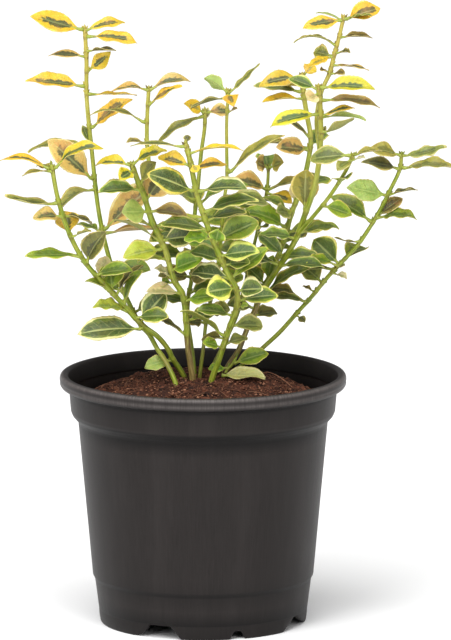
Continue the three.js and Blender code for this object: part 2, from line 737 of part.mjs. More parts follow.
// Leaves: the largest are pieces of their own, and the others are one with their stem.
const leaves = [];
for (const [name, shoot] of Object.entries(shoots)) {
  shoot.leaves.forEach(([height, tip, width, lean, arch], i) => {
    const label = `${name}_leaf_${String(i + 1).padStart(2, '0')}`;
    const size = Math.hypot(...tip) * width;
    leaves.push({ label, shoot: name, height, tip, width: width * plantScale, lean, arch, size });
  });
}
const sizes = leaves.map((leaf) => leaf.size).sort((a, b) => b - a);
const smallestSeparate = sizes[separateLeaves - 1];
const low = new THREE.Color(0x5f7f1e);
const high = new THREE.Color(0xd9b325);
for (const leaf of leaves) {
  const { line, radius, owner } = lines[leaf.shoot];
  const node = nodeAt(line, potHeight + leaf.height * plantScale);
  const joined = leaf.size < smallestSeparate;
  const others = joined ? taken.filter((piece) => piece.owner !== owner) : taken;
  const grown = growLeaf(leaf, node, radius, joined, others);
  if (joined) {
    stems[owner] = stems[owner].add(grown);
    take(owner, grown);
  } else {
    take(leaf.label, grown);
    const tone = low.clone().lerp(high, THREE.MathUtils.clamp(leaf.height / 180, 0, 1));
    addPiece(leaf.label, grown, tone.getHex(), 0.4);
  }
}
for (const [owner, solid] of Object.entries(stems)) {
  addPiece(`stem_${owner}`, solid, 0x93a52c, 0.45);
}

/** The dropped leaf lies on the mound, flat on its slope. */
function makeFallenLeaf() {
  const heading = degrees(fallenLeaf.heading);
  const half = new THREE.Vector3(Math.cos(heading), Math.sin(heading), 0)
    .multiplyScalar(fallenLeaf.length / 2);
  const ends = [-1, 1].map((sign) => {
    const end = new THREE.Vector3(fallenLeaf.x, fallenLeaf.y, 0).addScaledVector(half, sign);
    const bed = soilHeight(Math.hypot(end.x, end.y));
    return end.setZ(bed + clearance + leafThickness);
  });
  const outline = { width: fallenLeaf.width, lean: fallenLeaf.lean, arch: 0.04 };
  for (let lift = 0; lift < 12; lift += 0.2) {
    const raised = ends.map((end) => end.clone().add(new THREE.Vector3(0, 0, lift)));
    const solid = leafSolid(raised[0], raised[1], outline);
    if (isClear(solid, taken)) {
      return solid;
    }
  }
  return leafSolid(ends[0], ends[1], outline);
}
addPiece('fallen_leaf', makeFallenLeaf(), 0xa9a85a, 0.6);

export default plant;
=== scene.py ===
"""Potted variegated euonymus: the looks of its pot, compost, shoots and leaves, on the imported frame.
The tables and the geometry are in millimetres; Blender's objects are in metres, in the same frame."""

import math
import random

import bpy
import numpy as np
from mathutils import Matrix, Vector, noise


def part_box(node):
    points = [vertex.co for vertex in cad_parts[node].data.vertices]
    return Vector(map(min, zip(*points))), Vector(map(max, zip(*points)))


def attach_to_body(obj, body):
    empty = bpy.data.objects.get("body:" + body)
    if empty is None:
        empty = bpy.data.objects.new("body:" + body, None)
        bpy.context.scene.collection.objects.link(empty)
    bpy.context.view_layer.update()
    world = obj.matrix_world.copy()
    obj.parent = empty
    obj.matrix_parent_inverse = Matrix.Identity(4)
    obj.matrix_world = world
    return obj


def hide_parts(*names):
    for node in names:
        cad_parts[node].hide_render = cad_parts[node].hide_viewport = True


MM = 0.001
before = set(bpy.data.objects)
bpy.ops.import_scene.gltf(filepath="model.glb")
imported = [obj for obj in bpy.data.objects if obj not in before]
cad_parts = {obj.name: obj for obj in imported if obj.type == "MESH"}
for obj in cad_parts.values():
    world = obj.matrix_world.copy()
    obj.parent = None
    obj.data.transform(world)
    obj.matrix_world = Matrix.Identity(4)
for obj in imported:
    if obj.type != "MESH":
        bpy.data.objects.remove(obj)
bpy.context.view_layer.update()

# ------------------------------------------------------------------ sizes, as in the part
POT_HEIGHT, RIM_RADIUS, RIM_ROLL, RIM_OVERHANG = 149, 85, 8, 5.6
COLLAR_DEPTH, COLLAR_STEP, SHOULDER_DEPTH = 22, 4.4, 7
BODY_BASE_RADIUS, FOOT_BAND_HEIGHT, FOOT_BAND_STEP = 65.6, 27, 1.3
FOOT_RADIUS, FOOT_HEIGHT, FOOT_THICKNESS = 61.6, 8, 3.4
WALL, FLOOR_THICKNESS, PAD_RADIUS = 1.5, 2, 14
DRAIN_RADIUS, DRAIN_CIRCLE, DRAINS = 3.8, 38, 8
SOIL_DROP, MOUND_RISE, MOUND_POWER, SOIL_CLEARANCE = 19, 17, 2.6, 0.45
ROOT_DEPTH, PETIOLE_LENGTH, LEAF_THICKNESS, CLEARANCE = 16, 2.5, 0.8, 0.3
NODE_SAMPLES = 300

# ------------------------------------------------------------------ how fine the meshes are
POT_SIDES, FOOT_SIDES, PAD_SIDES, DRAIN_SIDES, FLOOR_RINGS = 256, 720, 64, 24, 24
SOIL_RINGS, SOIL_SIDES, CRUMBS, FIBRES = 150, 400, 5200, 240
STEM_SIDES, STEM_STEP, STEM_SAMPLES, SMALL_SIDES = 14, 1.3, 400, 8

# A shoot: its radius, where it leaves the compost or the shoot that it grows from, a tone for each
# leaf, and its points [x, y, height over the rim]. A leaf: height of its node over the rim, x, y and z
# of its tip from the node, width, lean of its upper face to the front in degrees (0 faces up), and
# arch in hundredths of its length.
SHOOTS = {
    "left_tall": {
        "radius": 1.4, "base": (-16, -20), "tones": "gggtkggGgoqtotftfff",
        "points": [(-23, -13, 11), (-27, -8, 16), (-32, -3, 24), (-37, 0, 29), (-46, 4, 46), (-53, 8, 60),
            (-57, 12, 72), (-62, 18, 95), (-66, 24, 130), (-69, 27, 162), (-69, 27, 183), (-70, 26, 203)],
        "leaves": [(202, -32, -6, 9, 15, 50, 0), (201, 24, 8, 4, 9, 35, 8), (197, 31, -8, -2, 11, 30, 5),
            (185, -23, 8, 0, 9, 25, 3), (189, 18, -12, 2, 9, -5, 2), (176, 14, -6, 12, 10, 70, -12),
            (167, -36, -4, 4, 13, 35, 2), (163, 30, 6, -1, 10, 5, 0), (142, 25, -8, 19, 11, 40, 5),
            (131, -37, 5, -3, 10, 10, 8), (132, -5, 3, 11, 5, 30, 0), (112, -25, -5, 22, 14, 60, 6),
            (106, -20, -6, -12, 9, 15, 16), (83, 31, 4, 26, 14, 50, 6), (82, -15, 6, 3, 9, 5, 5),
            (81, 33, -5, 3, 9, 5, 2), (60, 20, -8, 2, 11, 35, 5), (48, -16, 6, 6, 9, 30, 5),
            (36, 16, 4, 6, 9, 40, 5)]},
    "left_outer": {
        "radius": 1.5, "base": (-11, -3), "tones": "gyooqtkgobkbfpkflDDsfd",
        "points": [(-18, -7, 10), (-20.5, -10, 16), (-27, -15, 25), (-36, -16, 32), (-50, -19, 48),
            (-69, -22, 70), (-78, -26, 87), (-85, -29, 109), (-89, -31, 131)],
        "leaves": [(128, -30, 5, 4, 10, 10, 12), (128, 29, -6, 13, 10, 25, 16),
            (126, -17, -10, -1, 9, 0, 5), (127, -9, 10, 1, 7, 10, 5), (107, -29, 7, 3, 10, 0, -8),
            (99, -16, -6, 0, 10, 35, 5), (99, 16, 8, -6, 9, 10, 6), (87, -3, 10, 12, 12, 65, 5),
            (86, 11, -3, 4, 7, 0, 3), (74, -30, -4, 1, 9, 20, 3), (70, 11, -4, 18, 12, 40, 10),
            (52, -1, 8, 14, 13, 65, 8), (53, -13, -5, 6, 8, 15, 5), (58, 1, 10, 13, 8, 75, 5),
            (50, 15, 5, 16, 9, 0, 5), (44, 10, -4, 20, 9, 20, 8), (41, -19, -5, 3, 10, 20, 5),
            (31, -36, -8, -3, 15, 40, 6), (33, 14, 3, 16, 13, 60, 5), (9, -17, -5, -4, 10, 45, 6),
            (62, 20, -6, 4, 11, 35, 5), (36, 18, -6, 2, 10, 40, 5)]},
    "centre_left": {
        "radius": 1.8, "base": (-6, -12), "tones": "yyydotnsllolDlbpfpkfbf",
        "points": [(-9, -12, 19), (-10, -14, 34), (-12, -16, 50), (-17, -17, 59), (-22, -20, 77),
            (-27, -22, 89), (-30, -23, 95), (-34, -26, 109), (-37, -28, 117), (-42, -32, 131)],
        "leaves": [(130, -21, 5, -1, 11, 25, 8), (130, 20, -5, 9, 10, 30, 10), (127, -8, -9, -4, 9, 60, 2),
            (115, -23, -4, -1, 11, 30, 4), (118, 9, -3, 13, 10, 30, 5), (108, 11, 6, 14, 14, 70, 5),
            (101, 21, -5, -2, 10, 30, 6), (101, -14, -8, 1, 13, 60, 2), (93, -17, 7, 1, 8, 0, 3),
            (92, 26, 4, 4, 9, 15, 3), (83, -25, 3, 11, 10, -10, 5), (79, -22, -8, -4, 13, 45, 4),
            (83, 18, -4, 3, 13, 55, 6), (72, -17, 5, -2, 9, 10, 5), (65, 17, -9, 8, 12, 50, 5),
            (60, -10, -4, 6, 8, 20, 3), (58, -8, 4, -3, 8, 30, 4), (51, -19, -5, 2, 9, 30, 4),
            (25, -22, 4, 10, 9, 5, 5), (88, 19, 14, -2, 12, 30, 6), (46, 17, -6, 4, 10, 40, 5),
            (34, 18, 5, 3, 10, 30, 5)]},
    "centre_left_top": {
        "radius": 1.3, "from": "centre_left", "tones": "ttgon",
        "points": [(-27, -22, 89), (-34, -12, 109), (-32, -4, 126), (-33, 0, 138), (-33, 3, 151),
            (-32, 5, 170)],
        "leaves": [(169, -22, -6, 0, 10, 15, 10), (169, 25, 5, 5, 10, 20, 10), (160, 20, -6, 13, 9, 25, 4),
            (150, -34, 6, 4, 9, 5, 14), (138, -12, -7, 2, 7, 10, 5)]},
    "centre_front": {
        "radius": 1.7, "base": (5, -14), "tones": "qkgEGGgDddbbdBfBbBDlqdkdDBdbq",
        "points": [(9, -16, 10), (15, -19, 29), (20, -23, 45), (20, -26, 54), (14, -30, 67), (6, -35, 86),
            (0, -39, 103), (-4, -42, 117), (-7, -45, 133), (-10, -47, 146)],
        "leaves": [(144, -33, 5, 0, 9, 5, 3), (145, 1, 4, 5, 5, 20, 0), (132, -19, 4, 4, 10, 45, 5),
            (117, -26, -13, 11, 14, 55, 4), (139, 32, -4, 3, 8, 0, 7), (134, 4, -4, -5, 6, 60, 0),
            (130, 20, 6, 2, 10, 25, 3), (116, 28, -8, 3, 13, 30, 5), (103, 30, -6, 8, 11, 25, 8),
            (98, 22, 6, 4, 10, 20, 6), (83, 2, -5, 9, 9, 60, 0), (87, -15, -5, 0, 10, 30, 5),
            (73, -18, 4, 4, 11, 35, 6), (76, 21, -7, 4, 12, 50, 5), (84, 24, 8, 10, 14, 50, 5),
            (70, 14, -3, 2, 9, 45, 5), (62, 20, 4, 16, 10, 40, 4), (56, -16, -8, -1, 14, 55, 4),
            (54, 14, -6, 2, 12, 50, 4), (44, 6, -2, 1, 5, 30, 0), (32, 18, 10, -2, 10, 50, 4),
            (25, -26, -10, 17, 9, -10, 5), (24, -14, 6, -2, 9, 20, 4), (92, -26, 2, 3, 11, 25, 6),
            (62, -22, 6, 2, 12, 40, 5), (48, 22, 4, 2, 11, 40, 5), (38, -20, -4, 4, 9, 30, 6),
            (18, -12, -5, 4, 10, 35, 5), (20, 14, 4, 3, 9, 35, 5)]},
    "centre_back": {
        "radius": 1.3, "base": (-5, 3), "tones": "Gtopfffffdbfkff",
        "points": [(-7, 6, 16), (-9, 9, 30), (-9, 12, 42), (-7, 15, 53), (-6, 18, 71), (-5, 21, 91),
            (-3, 23, 109), (-1, 25, 129), (1, 26, 144), (1, 26, 154)],
        "leaves": [(152, -12, -7, 7, 10, 50, 4), (152, 15, 5, 0, 10, 40, 4), (150, -29, -5, -16, 9, 20, 7),
            (146, 2, 3, 9, 4, 20, 0), (62, 4, 14, 5, 13, 30, 5), (96, -3, 20, 6, 12, 20, 6),
            (100, -29, -10, 6, 11, 10, 8), (98, 30, 4, 10, 11, 12, 10), (88, 26, -8, 2, 14, 35, 5),
            (80, -24, -8, -2, 14, 40, 5), (72, 24, 8, 6, 13, 30, 6), (66, -26, 2, 2, 12, 30, 6),
            (55, -18, -6, 2, 11, 40, 5), (46, 16, -4, 4, 10, 40, 5), (40, -14, 6, 2, 9, 30, 5)]},
    "centre_thin": {
        "radius": 1.1, "base": (-2, -3), "tones": "sogknokkffqfbfqk",
        "points": [(0, -2, 14), (2, 0, 32), (5, 1, 46), (10, 3, 73), (12, 3, 100), (14, 2, 115),
            (14, 0, 134), (14, -3, 152), (15, -6, 170)],
        "leaves": [(169, -14, 6, 8, 10, -60, 5), (169, 18, 4, 17, 7, 10, -5), (168, 3, -13, -5, 10, 45, 8),
            (166, -22, -4, -6, 10, -8, 4), (157, 6, -5, 3, 5, 20, 0), (120, 31, -4, 22, 10, 15, 5),
            (61, -14, 6, -6, 12, 50, 4), (43, -10, 6, 0, 9, 30, 4), (88, 15, 13, 4, 12, 20, 6),
            (62, 10, 15, 2, 11, 30, 5), (104, 24, 8, -4, 12, 30, 6), (82, 21, -9, 6, 13, 40, 5),
            (74, -20, 4, 4, 12, 35, 5), (52, 16, 6, 4, 12, 35, 5), (36, 12, -6, 3, 10, 40, 5),
            (30, -12, -5, 2, 10, 40, 5)]},
    "back_thin": {
        "radius": 1.1, "base": (5, 28), "tones": "noftogfffffffff",
        "points": [(12, 32, 11), (21, 40, 30), (28, 48, 59), (35, 53, 87), (38, 55, 100), (39, 55, 115)],
        "leaves": [(114, -7, -5, 4, 10, 50, 3), (114, 8, -4, 4, 10, 50, 3), (113, -2, 20, 5, 11, 10, 5),
            (101, -20, -6, 5, 12, 35, 6), (101, 25, -5, 5, 9, 15, 5), (99, 14, -7, -4, 9, 30, 5),
            (78, -4, 22, 4, 13, 15, 6), (76, 5, -15, 6, 10, 30, 5), (52, -16, 10, 4, 11, 20, 5),
            (50, 16, 12, 2, 11, 20, 5), (88, -22, 6, 4, 12, 25, 6), (64, -18, -8, 3, 12, 30, 5),
            (66, 20, -4, 2, 11, 30, 5), (38, 14, -6, 3, 10, 30, 5), (36, -14, 6, 2, 10, 30, 5)]},
    "right_back": {
        "radius": 1.6, "base": (13, 18), "tones": "gGGqGktoffbqpffbddkfdqkf",
        "points": [(21, 20, 10), (24, 22, 17), (28, 24, 27), (32, 26, 36), (36, 28, 45), (43, 31, 61),
            (47, 33, 71), (53, 37, 91), (59, 40, 106), (64, 45, 132), (62, 47, 146), (60, 49, 158),
            (59, 50, 171)],
        "leaves": [(170, -26, -8, -4, 12, 50, 4), (170, 7, 6, 6, 9, 60, 3), (164, -12, 6, 1, 9, 30, 3),
            (161, -30, 12, 2, 11, 25, 3), (157, -25, -7, -1, 9, 10, 4), (134, -17, -6, 12, 9, 20, 4),
            (126, -19, -6, 3, 11, 60, 3), (127, -31, 6, 2, 9, 0, 4), (128, 8, 20, 5, 12, 20, 5),
            (90, -22, 5, 6, 10, 10, 12), (81, -24, -6, 10, 13, 40, 10), (89, -8, -10, 3, 10, 50, 3),
            (95, 0, 5, 12, 6, 70, 0), (104, 16, 17, 3, 12, 20, 6), (72, 12, 19, 3, 12, 20, 6),
            (50, 3, -5, 15, 9, 45, 3), (48, -10, 4, 9, 9, 45, 3), (43, 27, -7, 16, 9, 25, 10),
            (45, 17, -3, -1, 9, 25, 5), (60, -25, -4, 4, 12, 30, 5), (64, 24, -6, 0, 11, 25, 6),
            (34, -16, -4, 3, 10, 35, 5), (30, 14, 6, 1, 10, 30, 5), (78, 22, 8, 2, 11, 25, 5)]},
    "right_front": {
        "radius": 1.7, "from": "right_back", "tones": "ydpygsnokodDddf",
        "points": [(36, 28, 45), (41, 22, 54), (49, 12, 68), (55, 5, 80), (60, -2, 95), (66, -8, 114),
            (69, -13, 136), (69, -17, 161), (68, -19, 175)],
        "leaves": [(174, 33, -8, 1, 12, 38, 5), (173, -18, 4, 6, 10, 40, 3), (171, -7, -8, -3, 10, 60, 2),
            (158, -30, -7, -6, 12, 38, 6), (157, 20, -4, 6, 9, 20, 3), (156, 27, 4, -2, 9, -15, 4),
            (166, 36, 7, -5, 10, 20, 6), (147, 19, -4, 9, 10, -20, -12), (144, 3, -2, 7, 3, 40, 0),
            (97, 0, 7, 22, 14, 60, 5), (67, -15, 6, 13, 9, 30, 4), (62, -26, -4, 6, 11, 30, 5),
            (62, 24, -6, 0, 10, 25, 5), (80, -20, -6, 3, 10, 30, 5), (84, 22, 4, 2, 10, 20, 5)]},
    "right_tall": {
        "radius": 1.3, "from": "right_front", "tones": "gfgsonqGktnn",
        "points": [(69, -12, 133), (67, -6, 153), (70, 0, 169), (75, 4, 180), (77, 6, 188), (80, 8, 199),
            (83, 8, 212)],
        "leaves": [(211, 22, 8, 5, 13, 45, 3), (211, 17, -4, 3, 9, 0, 3), (210, -24, -8, -3, 11, 42, 4),
            (210, -16, 6, 4, 6, 0, 5), (195, -26, 3, 2, 7, -5, 16), (200, 20, 5, -1, 8, 10, 3),
            (189, -12, 5, 2, 10, 60, 3), (189, -15, -6, -5, 9, 20, 3), (191, 9, -4, 1, 8, 10, 2),
            (184, 22, -5, -2, 7, 0, 2), (179, 9, -5, 1, 8, 20, 2), (180, -6, -4, 2, 6, 20, 0)]},
    "right_low": {
        "radius": 1.2, "from": "right_front", "tones": "qoopbf",
        "points": [(56, 3, 83), (67, -14, 99), (76, -27, 113), (85, -38, 130), (88, -42, 138)],
        "leaves": [(137, -25, 6, -3, 13, 50, 5), (138, 17, 5, 2, 8, 10, 3), (135, -8, -12, -4, 8, 30, 3),
            (135, 8, -4, 2, 6, 10, 0), (104, 16, 4, -6, 10, 50, 3), (120, 4, -18, 5, 11, 30, 5)]},
    "right_outer": {
        "radius": 1.3, "base": (20, 25), "tones": "oqokskffnkdbfqppfqnk",
        "points": [(35, 26, 10), (46, 28, 20), (56, 30, 31), (65, 31, 41), (75, 33, 53), (92, 36, 71),
            (99, 37, 81), (105, 38, 91), (111, 39, 103), (117, 40, 116), (118, 40, 125)],
        "leaves": [(124, -18, -7, 5, 11, 40, 4), (124, 25, 6, 5, 9, 30, -8), (117, 30, -8, 1, 12, 20, 4),
            (116, -21, -6, 5, 10, 30, 4), (100, -22, -7, 6, 12, 62, 3), (101, 16, 5, 2, 6, 0, 2),
            (84, -23, 6, 13, 12, 35, 6), (87, 22, -8, 1, 12, 20, 5), (88, 14, 6, 9, 9, 40, 4),
            (73, -14, -4, 3, 6, -5, -8), (59, -14, 5, 13, 14, 70, 3), (58, -17, -20, 6, 10, 30, 4),
            (56, -27, 3, -2, 9, 15, 5), (48, -11, 5, 9, 11, 50, 3), (55, 8, -3, -3, 5, 20, 0),
            (57, 5, 3, 2, 4, 20, 0), (62, 12, 18, 3, 12, 20, 6), (37, -19, -6, 4, 9, 25, 4),
            (43, -7, 2, 3, 4, 10, 0), (30, 5, -3, -4, 5, 30, 0)]},
    "ground_shoot": {
        "radius": 0.9, "base": (13, 8), "tones": "bb",
        "points": [(15, 10, 1), (18, 11, 4), (20, 12, 8)],
        "leaves": [(4, 21, 2, 6, 12, 55, 5), (1, -12, -6, 1, 7, 50, 3)]},
}

# Tones: colours (sRGB, 0 to 255) of a blade's centre, blade, margin and underside, then how far the
# centre patch reaches, how strong the veins are and how wide the margin is.
TONES = {
    "g": ((72, 78, 40), (214, 176, 38), (232, 200, 66), (172, 158, 84), 0.36, 0.30, 0.10),
    "G": ((158, 144, 50), (222, 184, 30), (238, 206, 58), (180, 166, 78), 0.18, 0.25, 0.10),
    "t": ((76, 80, 46), (196, 164, 84), (214, 190, 122), (178, 160, 108), 0.42, 0.35, 0.14),
    "o": ((100, 104, 42), (144, 140, 56), (190, 176, 84), (152, 150, 82), 0.40, 0.35, 0.12),
    "d": ((66, 90, 24), (104, 128, 30), (206, 202, 104), (150, 158, 66), 0.55, 0.45, 0.20),
    "D": ((56, 78, 34), (92, 114, 42), (220, 216, 150), (150, 160, 80), 0.60, 0.80, 0.20),
    "E": ((58, 76, 30), (92, 108, 36), (226, 196, 72), (158, 158, 74), 0.62, 0.80, 0.28),
    "B": ((70, 100, 40), (124, 150, 44), (212, 212, 96), (158, 170, 78), 0.48, 0.65, 0.28),
    "b": ((86, 122, 24), (132, 162, 34), (196, 202, 70), (158, 176, 68), 0.42, 0.40, 0.14),
    "l": ((122, 142, 50), (168, 182, 58), (204, 204, 104), (172, 184, 96), 0.35, 0.45, 0.12),
    "s": ((132, 158, 72), (152, 174, 84), (188, 196, 112), (158, 178, 96), 0.25, 0.35, 0.08),
    "k": ((66, 66, 32), (106, 102, 42), (168, 154, 76), (120, 116, 56), 0.45, 0.30, 0.16),
    "p": ((160, 156, 106), (196, 186, 134), (214, 206, 160), (198, 190, 142), 0.30, 0.40, 0.14),
    "y": ((66, 88, 34), (204, 188, 28), (222, 204, 66), (178, 174, 76), 0.36, 0.35, 0.12),
    "n": ((92, 78, 38), (140, 120, 56), (190, 166, 92), (148, 132, 70), 0.42, 0.30, 0.18),
    "q": ((86, 98, 42), (130, 138, 60), (192, 186, 110), (148, 152, 80), 0.48, 0.40, 0.18),
    "f": ((72, 98, 20), (116, 138, 32), (182, 182, 78), (138, 152, 60), 0.46, 0.35, 0.14),
    "x": ((158, 156, 92), (172, 170, 98), (196, 190, 130), (176, 170, 110), 0.40, 0.45, 0.20),
}


def linear(rgb):
    """An sRGB colour, 0 to 255, as linear light."""
    shares = [value / 255 for value in rgb]
    return [share / 12.92 if share <= 0.04045 else ((share + 0.055) / 1.055) ** 2.4 for share in shares]


def unit(v):
    return v / np.linalg.norm(v, axis=-1, keepdims=True)


def full_turn(count):
    return np.arange(count) * 2 * math.pi / count


def ring(radius, angles, z):
    """Points round the pot's axis; the radius and the height may be columns of numbers."""
    return np.stack(np.broadcast_arrays(radius * np.cos(angles), radius * np.sin(angles), z + 0 * angles), -1)


def bell(gap, width):
    return np.exp(-(gap / width) ** 2)


# ------------------------------------------------------------------ meshes
class Build:
    """Collects vertices (mm), faces and point attributes for one mesh of one material."""
    SIZES = {"FLOAT": 1, "FLOAT_VECTOR": 3, "FLOAT_COLOR": 4}
    FIELDS = {"FLOAT": "value", "FLOAT_VECTOR": "vector", "FLOAT_COLOR": "color"}

    def __init__(self, **attributes):
        self.kinds = attributes
        self.verts, self.faces = [], []
        self.values = {name: [] for name in attributes}
        self.count = 0

    def add(self, verts, faces, **values):
        verts = np.asarray(verts, float).reshape(-1, 3)
        self.verts.append(verts)
        self.faces += [[i + self.count for i in face] for face in faces]
        for name, kind in self.kinds.items():
            size = self.SIZES[kind]
            value = np.asarray(values.get(name, np.zeros(size)), float)
            self.values[name].append(np.broadcast_to(value.reshape(-1, size), (len(verts), size)))
        self.count += len(verts)

    def object(self, name, material):
        mesh = bpy.data.meshes.new(name)
        mesh.from_pydata((np.concatenate(self.verts) * MM).tolist(), [], self.faces)
        for key, kind in self.kinds.items():
            data = mesh.attributes.new(key, kind, "POINT").data
            data.foreach_set(self.FIELDS[kind], np.concatenate(self.values[key]).astype(np.float32).ravel())
        mesh.polygons.foreach_set("use_smooth", [True] * len(mesh.polygons))
        mesh.materials.append(material)
        piece = bpy.data.objects.new(name, mesh)
        bpy.context.scene.collection.objects.link(piece)
        return piece


def grid_faces(rows, columns, wrap=False, start=0, flip=False):
    """Quads of a grid of vertices; wrap joins the last column to the first."""
    faces = []
    for r in range(rows - 1):
        for c in range(columns if wrap else columns - 1):
            d = (c + 1) % columns
            face = [r * columns + c, r * columns + d, (r + 1) * columns + d, (r + 1) * columns + c]
            if flip:
                face.reverse()
            faces.append([start + i for i in face])
    return faces


def tube(points, radii, sides, squarish=0.0):
    """A closed tube along a path, carried along it without twist. Returns vertices, faces, angles."""
    points = np.asarray(points, float)
    tangents = unit(np.gradient(points, axis=0))
    normal = np.array((0.0, -1.0, 0.2))
    angles = full_turn(sides)
    shape = 1 + squarish * np.cos(4 * angles)
    rings = []
    for point, tangent, radius in zip(points, tangents, radii):
        normal = unit(normal - tangent * normal.dot(tangent))
        other = np.cross(tangent, normal)
        rings.append(point + np.outer(np.cos(angles) * shape * radius, normal)
                     + np.outer(np.sin(angles) * shape * radius, other))
    verts = np.concatenate(rings)
    faces = grid_faces(len(points), sides, wrap=True)
    faces += [list(range(sides))[::-1], [len(verts) - sides + i for i in range(sides)]]
    return verts, faces, np.tile(angles, len(points))


def spline(points):
    """Centripetal Catmull-Rom through the points: a function from 0..1 to a point."""
    p = [np.array(q, float) for q in points]
    last = len(p) - 1

    def at(t):
        place = last * min(max(t, 0.0), 1.0)
        i = min(int(place), last - 1)
        w = place - i
        before = p[i - 1] if i > 0 else 2 * p[0] - p[1]
        after = p[i + 2] if i + 2 <= last else 2 * p[last] - p[last - 1]
        a, b = p[i], p[i + 1]
        d0, d1, d2 = (max(1e-4, np.linalg.norm(v) ** 0.5) for v in (a - before, b - a, after - b))
        m0 = ((a - before) / d0 - (b - before) / (d0 + d1) + (b - a) / d1) * d1
        m1 = ((b - a) / d1 - (after - a) / (d1 + d2) + (after - b) / d2) * d1
        return a + m0 * w + (3 * (b - a) - 2 * m0 - m1) * w ** 2 + (2 * (a - b) + m0 + m1) * w ** 3

    return at


# ------------------------------------------------------------------ node helper
class Nodes:
    """A material's node tree, with short calls for the nodes used here."""

    def __init__(self, name, **settings):
        self.material = bpy.data.materials.new(name)
        self.material.use_nodes = True
        self.tree = self.material.node_tree
        self.shader = self.tree.nodes["Principled BSDF"]
        for key, value in settings.items():
            self.shader.inputs[key.replace("_", " ")].default_value = value

    def node(self, kind, inputs=(), **settings):
        made = self.tree.nodes.new(kind)
        for key, value in settings.items():
            setattr(made, key, value)
        for socket, value in dict(inputs).items():
            target = made.inputs[socket]
            if isinstance(value, bpy.types.NodeSocket):
                self.tree.links.new(value, target)
            else:
                target.default_value = value
        return made

    def math(self, operation, a, b=0.0, c=0.0, clamp=False):
        return self.node("ShaderNodeMath", {0: a, 1: b, 2: c}, operation=operation,
                         use_clamp=clamp).outputs[0]

    def times(self, a, b):
        return self.math("MULTIPLY", a, b)

    def plus(self, a, b):
        return self.math("ADD", a, b)

    def fit(self, value, gain, offset):
        return self.math("MULTIPLY_ADD", value, gain, offset)

    def attribute(self, name, output="Vector"):
        return self.node("ShaderNodeAttribute", attribute_name=name).outputs[output]

    def amount(self, name):
        return self.attribute(name, "Fac")

    def parts(self, name):
        return self.node("ShaderNodeSeparateXYZ", {0: self.attribute(name)}).outputs

    def vector(self, operation, a, b):
        return self.node("ShaderNodeVectorMath", {0: a, 1: b}, operation=operation).outputs[0]

    def stretch(self, vector, scale):
        return self.vector("MULTIPLY", vector, scale)

    def place(self):
        return self.node("ShaderNodeTexCoord").outputs["Object"]

    def noise(self, vector, scale, detail=3.0, roughness=0.55, distortion=0.0):
        return self.node("ShaderNodeTexNoise", {"Vector": vector, "Scale": scale, "Detail": detail,
                         "Roughness": roughness, "Distortion": distortion}).outputs["Fac"]

    def cells(self, vector, scale, feature="F1", output="Distance"):
        return self.node("ShaderNodeTexVoronoi", {"Vector": vector, "Scale": scale},
                         feature=feature).outputs[output]

    def step(self, value, low, high, to=(0.0, 1.0)):
        """Smooth step of value from low to high."""
        return self.node("ShaderNodeMapRange", {"Value": value, "From Min": low, "From Max": high,
                         "To Min": to[0], "To Max": to[1]}, interpolation_type="SMOOTHSTEP").outputs[0]

    def mix(self, factor, a, b):
        """Mixes two colours, each a socket or an sRGB triple."""
        a, b = (v if isinstance(v, bpy.types.NodeSocket) else (*linear(v), 1) for v in (a, b))
        return self.node("ShaderNodeMix", {0: factor, 6: a, 7: b}, data_type="RGBA").outputs[2]

    def tint(self, color, amount, most, rgb):
        """Takes a colour towards another by amount times most."""
        return self.mix(self.times(amount, most), color, rgb)

    def finish(self, color, roughness, height=None, distance=0.0003, strength=1.0):
        self.tree.links.new(color, self.shader.inputs["Base Color"])
        self.tree.links.new(roughness, self.shader.inputs["Roughness"])
        if height is not None:
            bump = self.node("ShaderNodeBump", {"Height": height, "Distance": distance,
                             "Strength": strength})
            self.tree.links.new(bump.outputs[0], self.shader.inputs["Normal"])
        return self.material


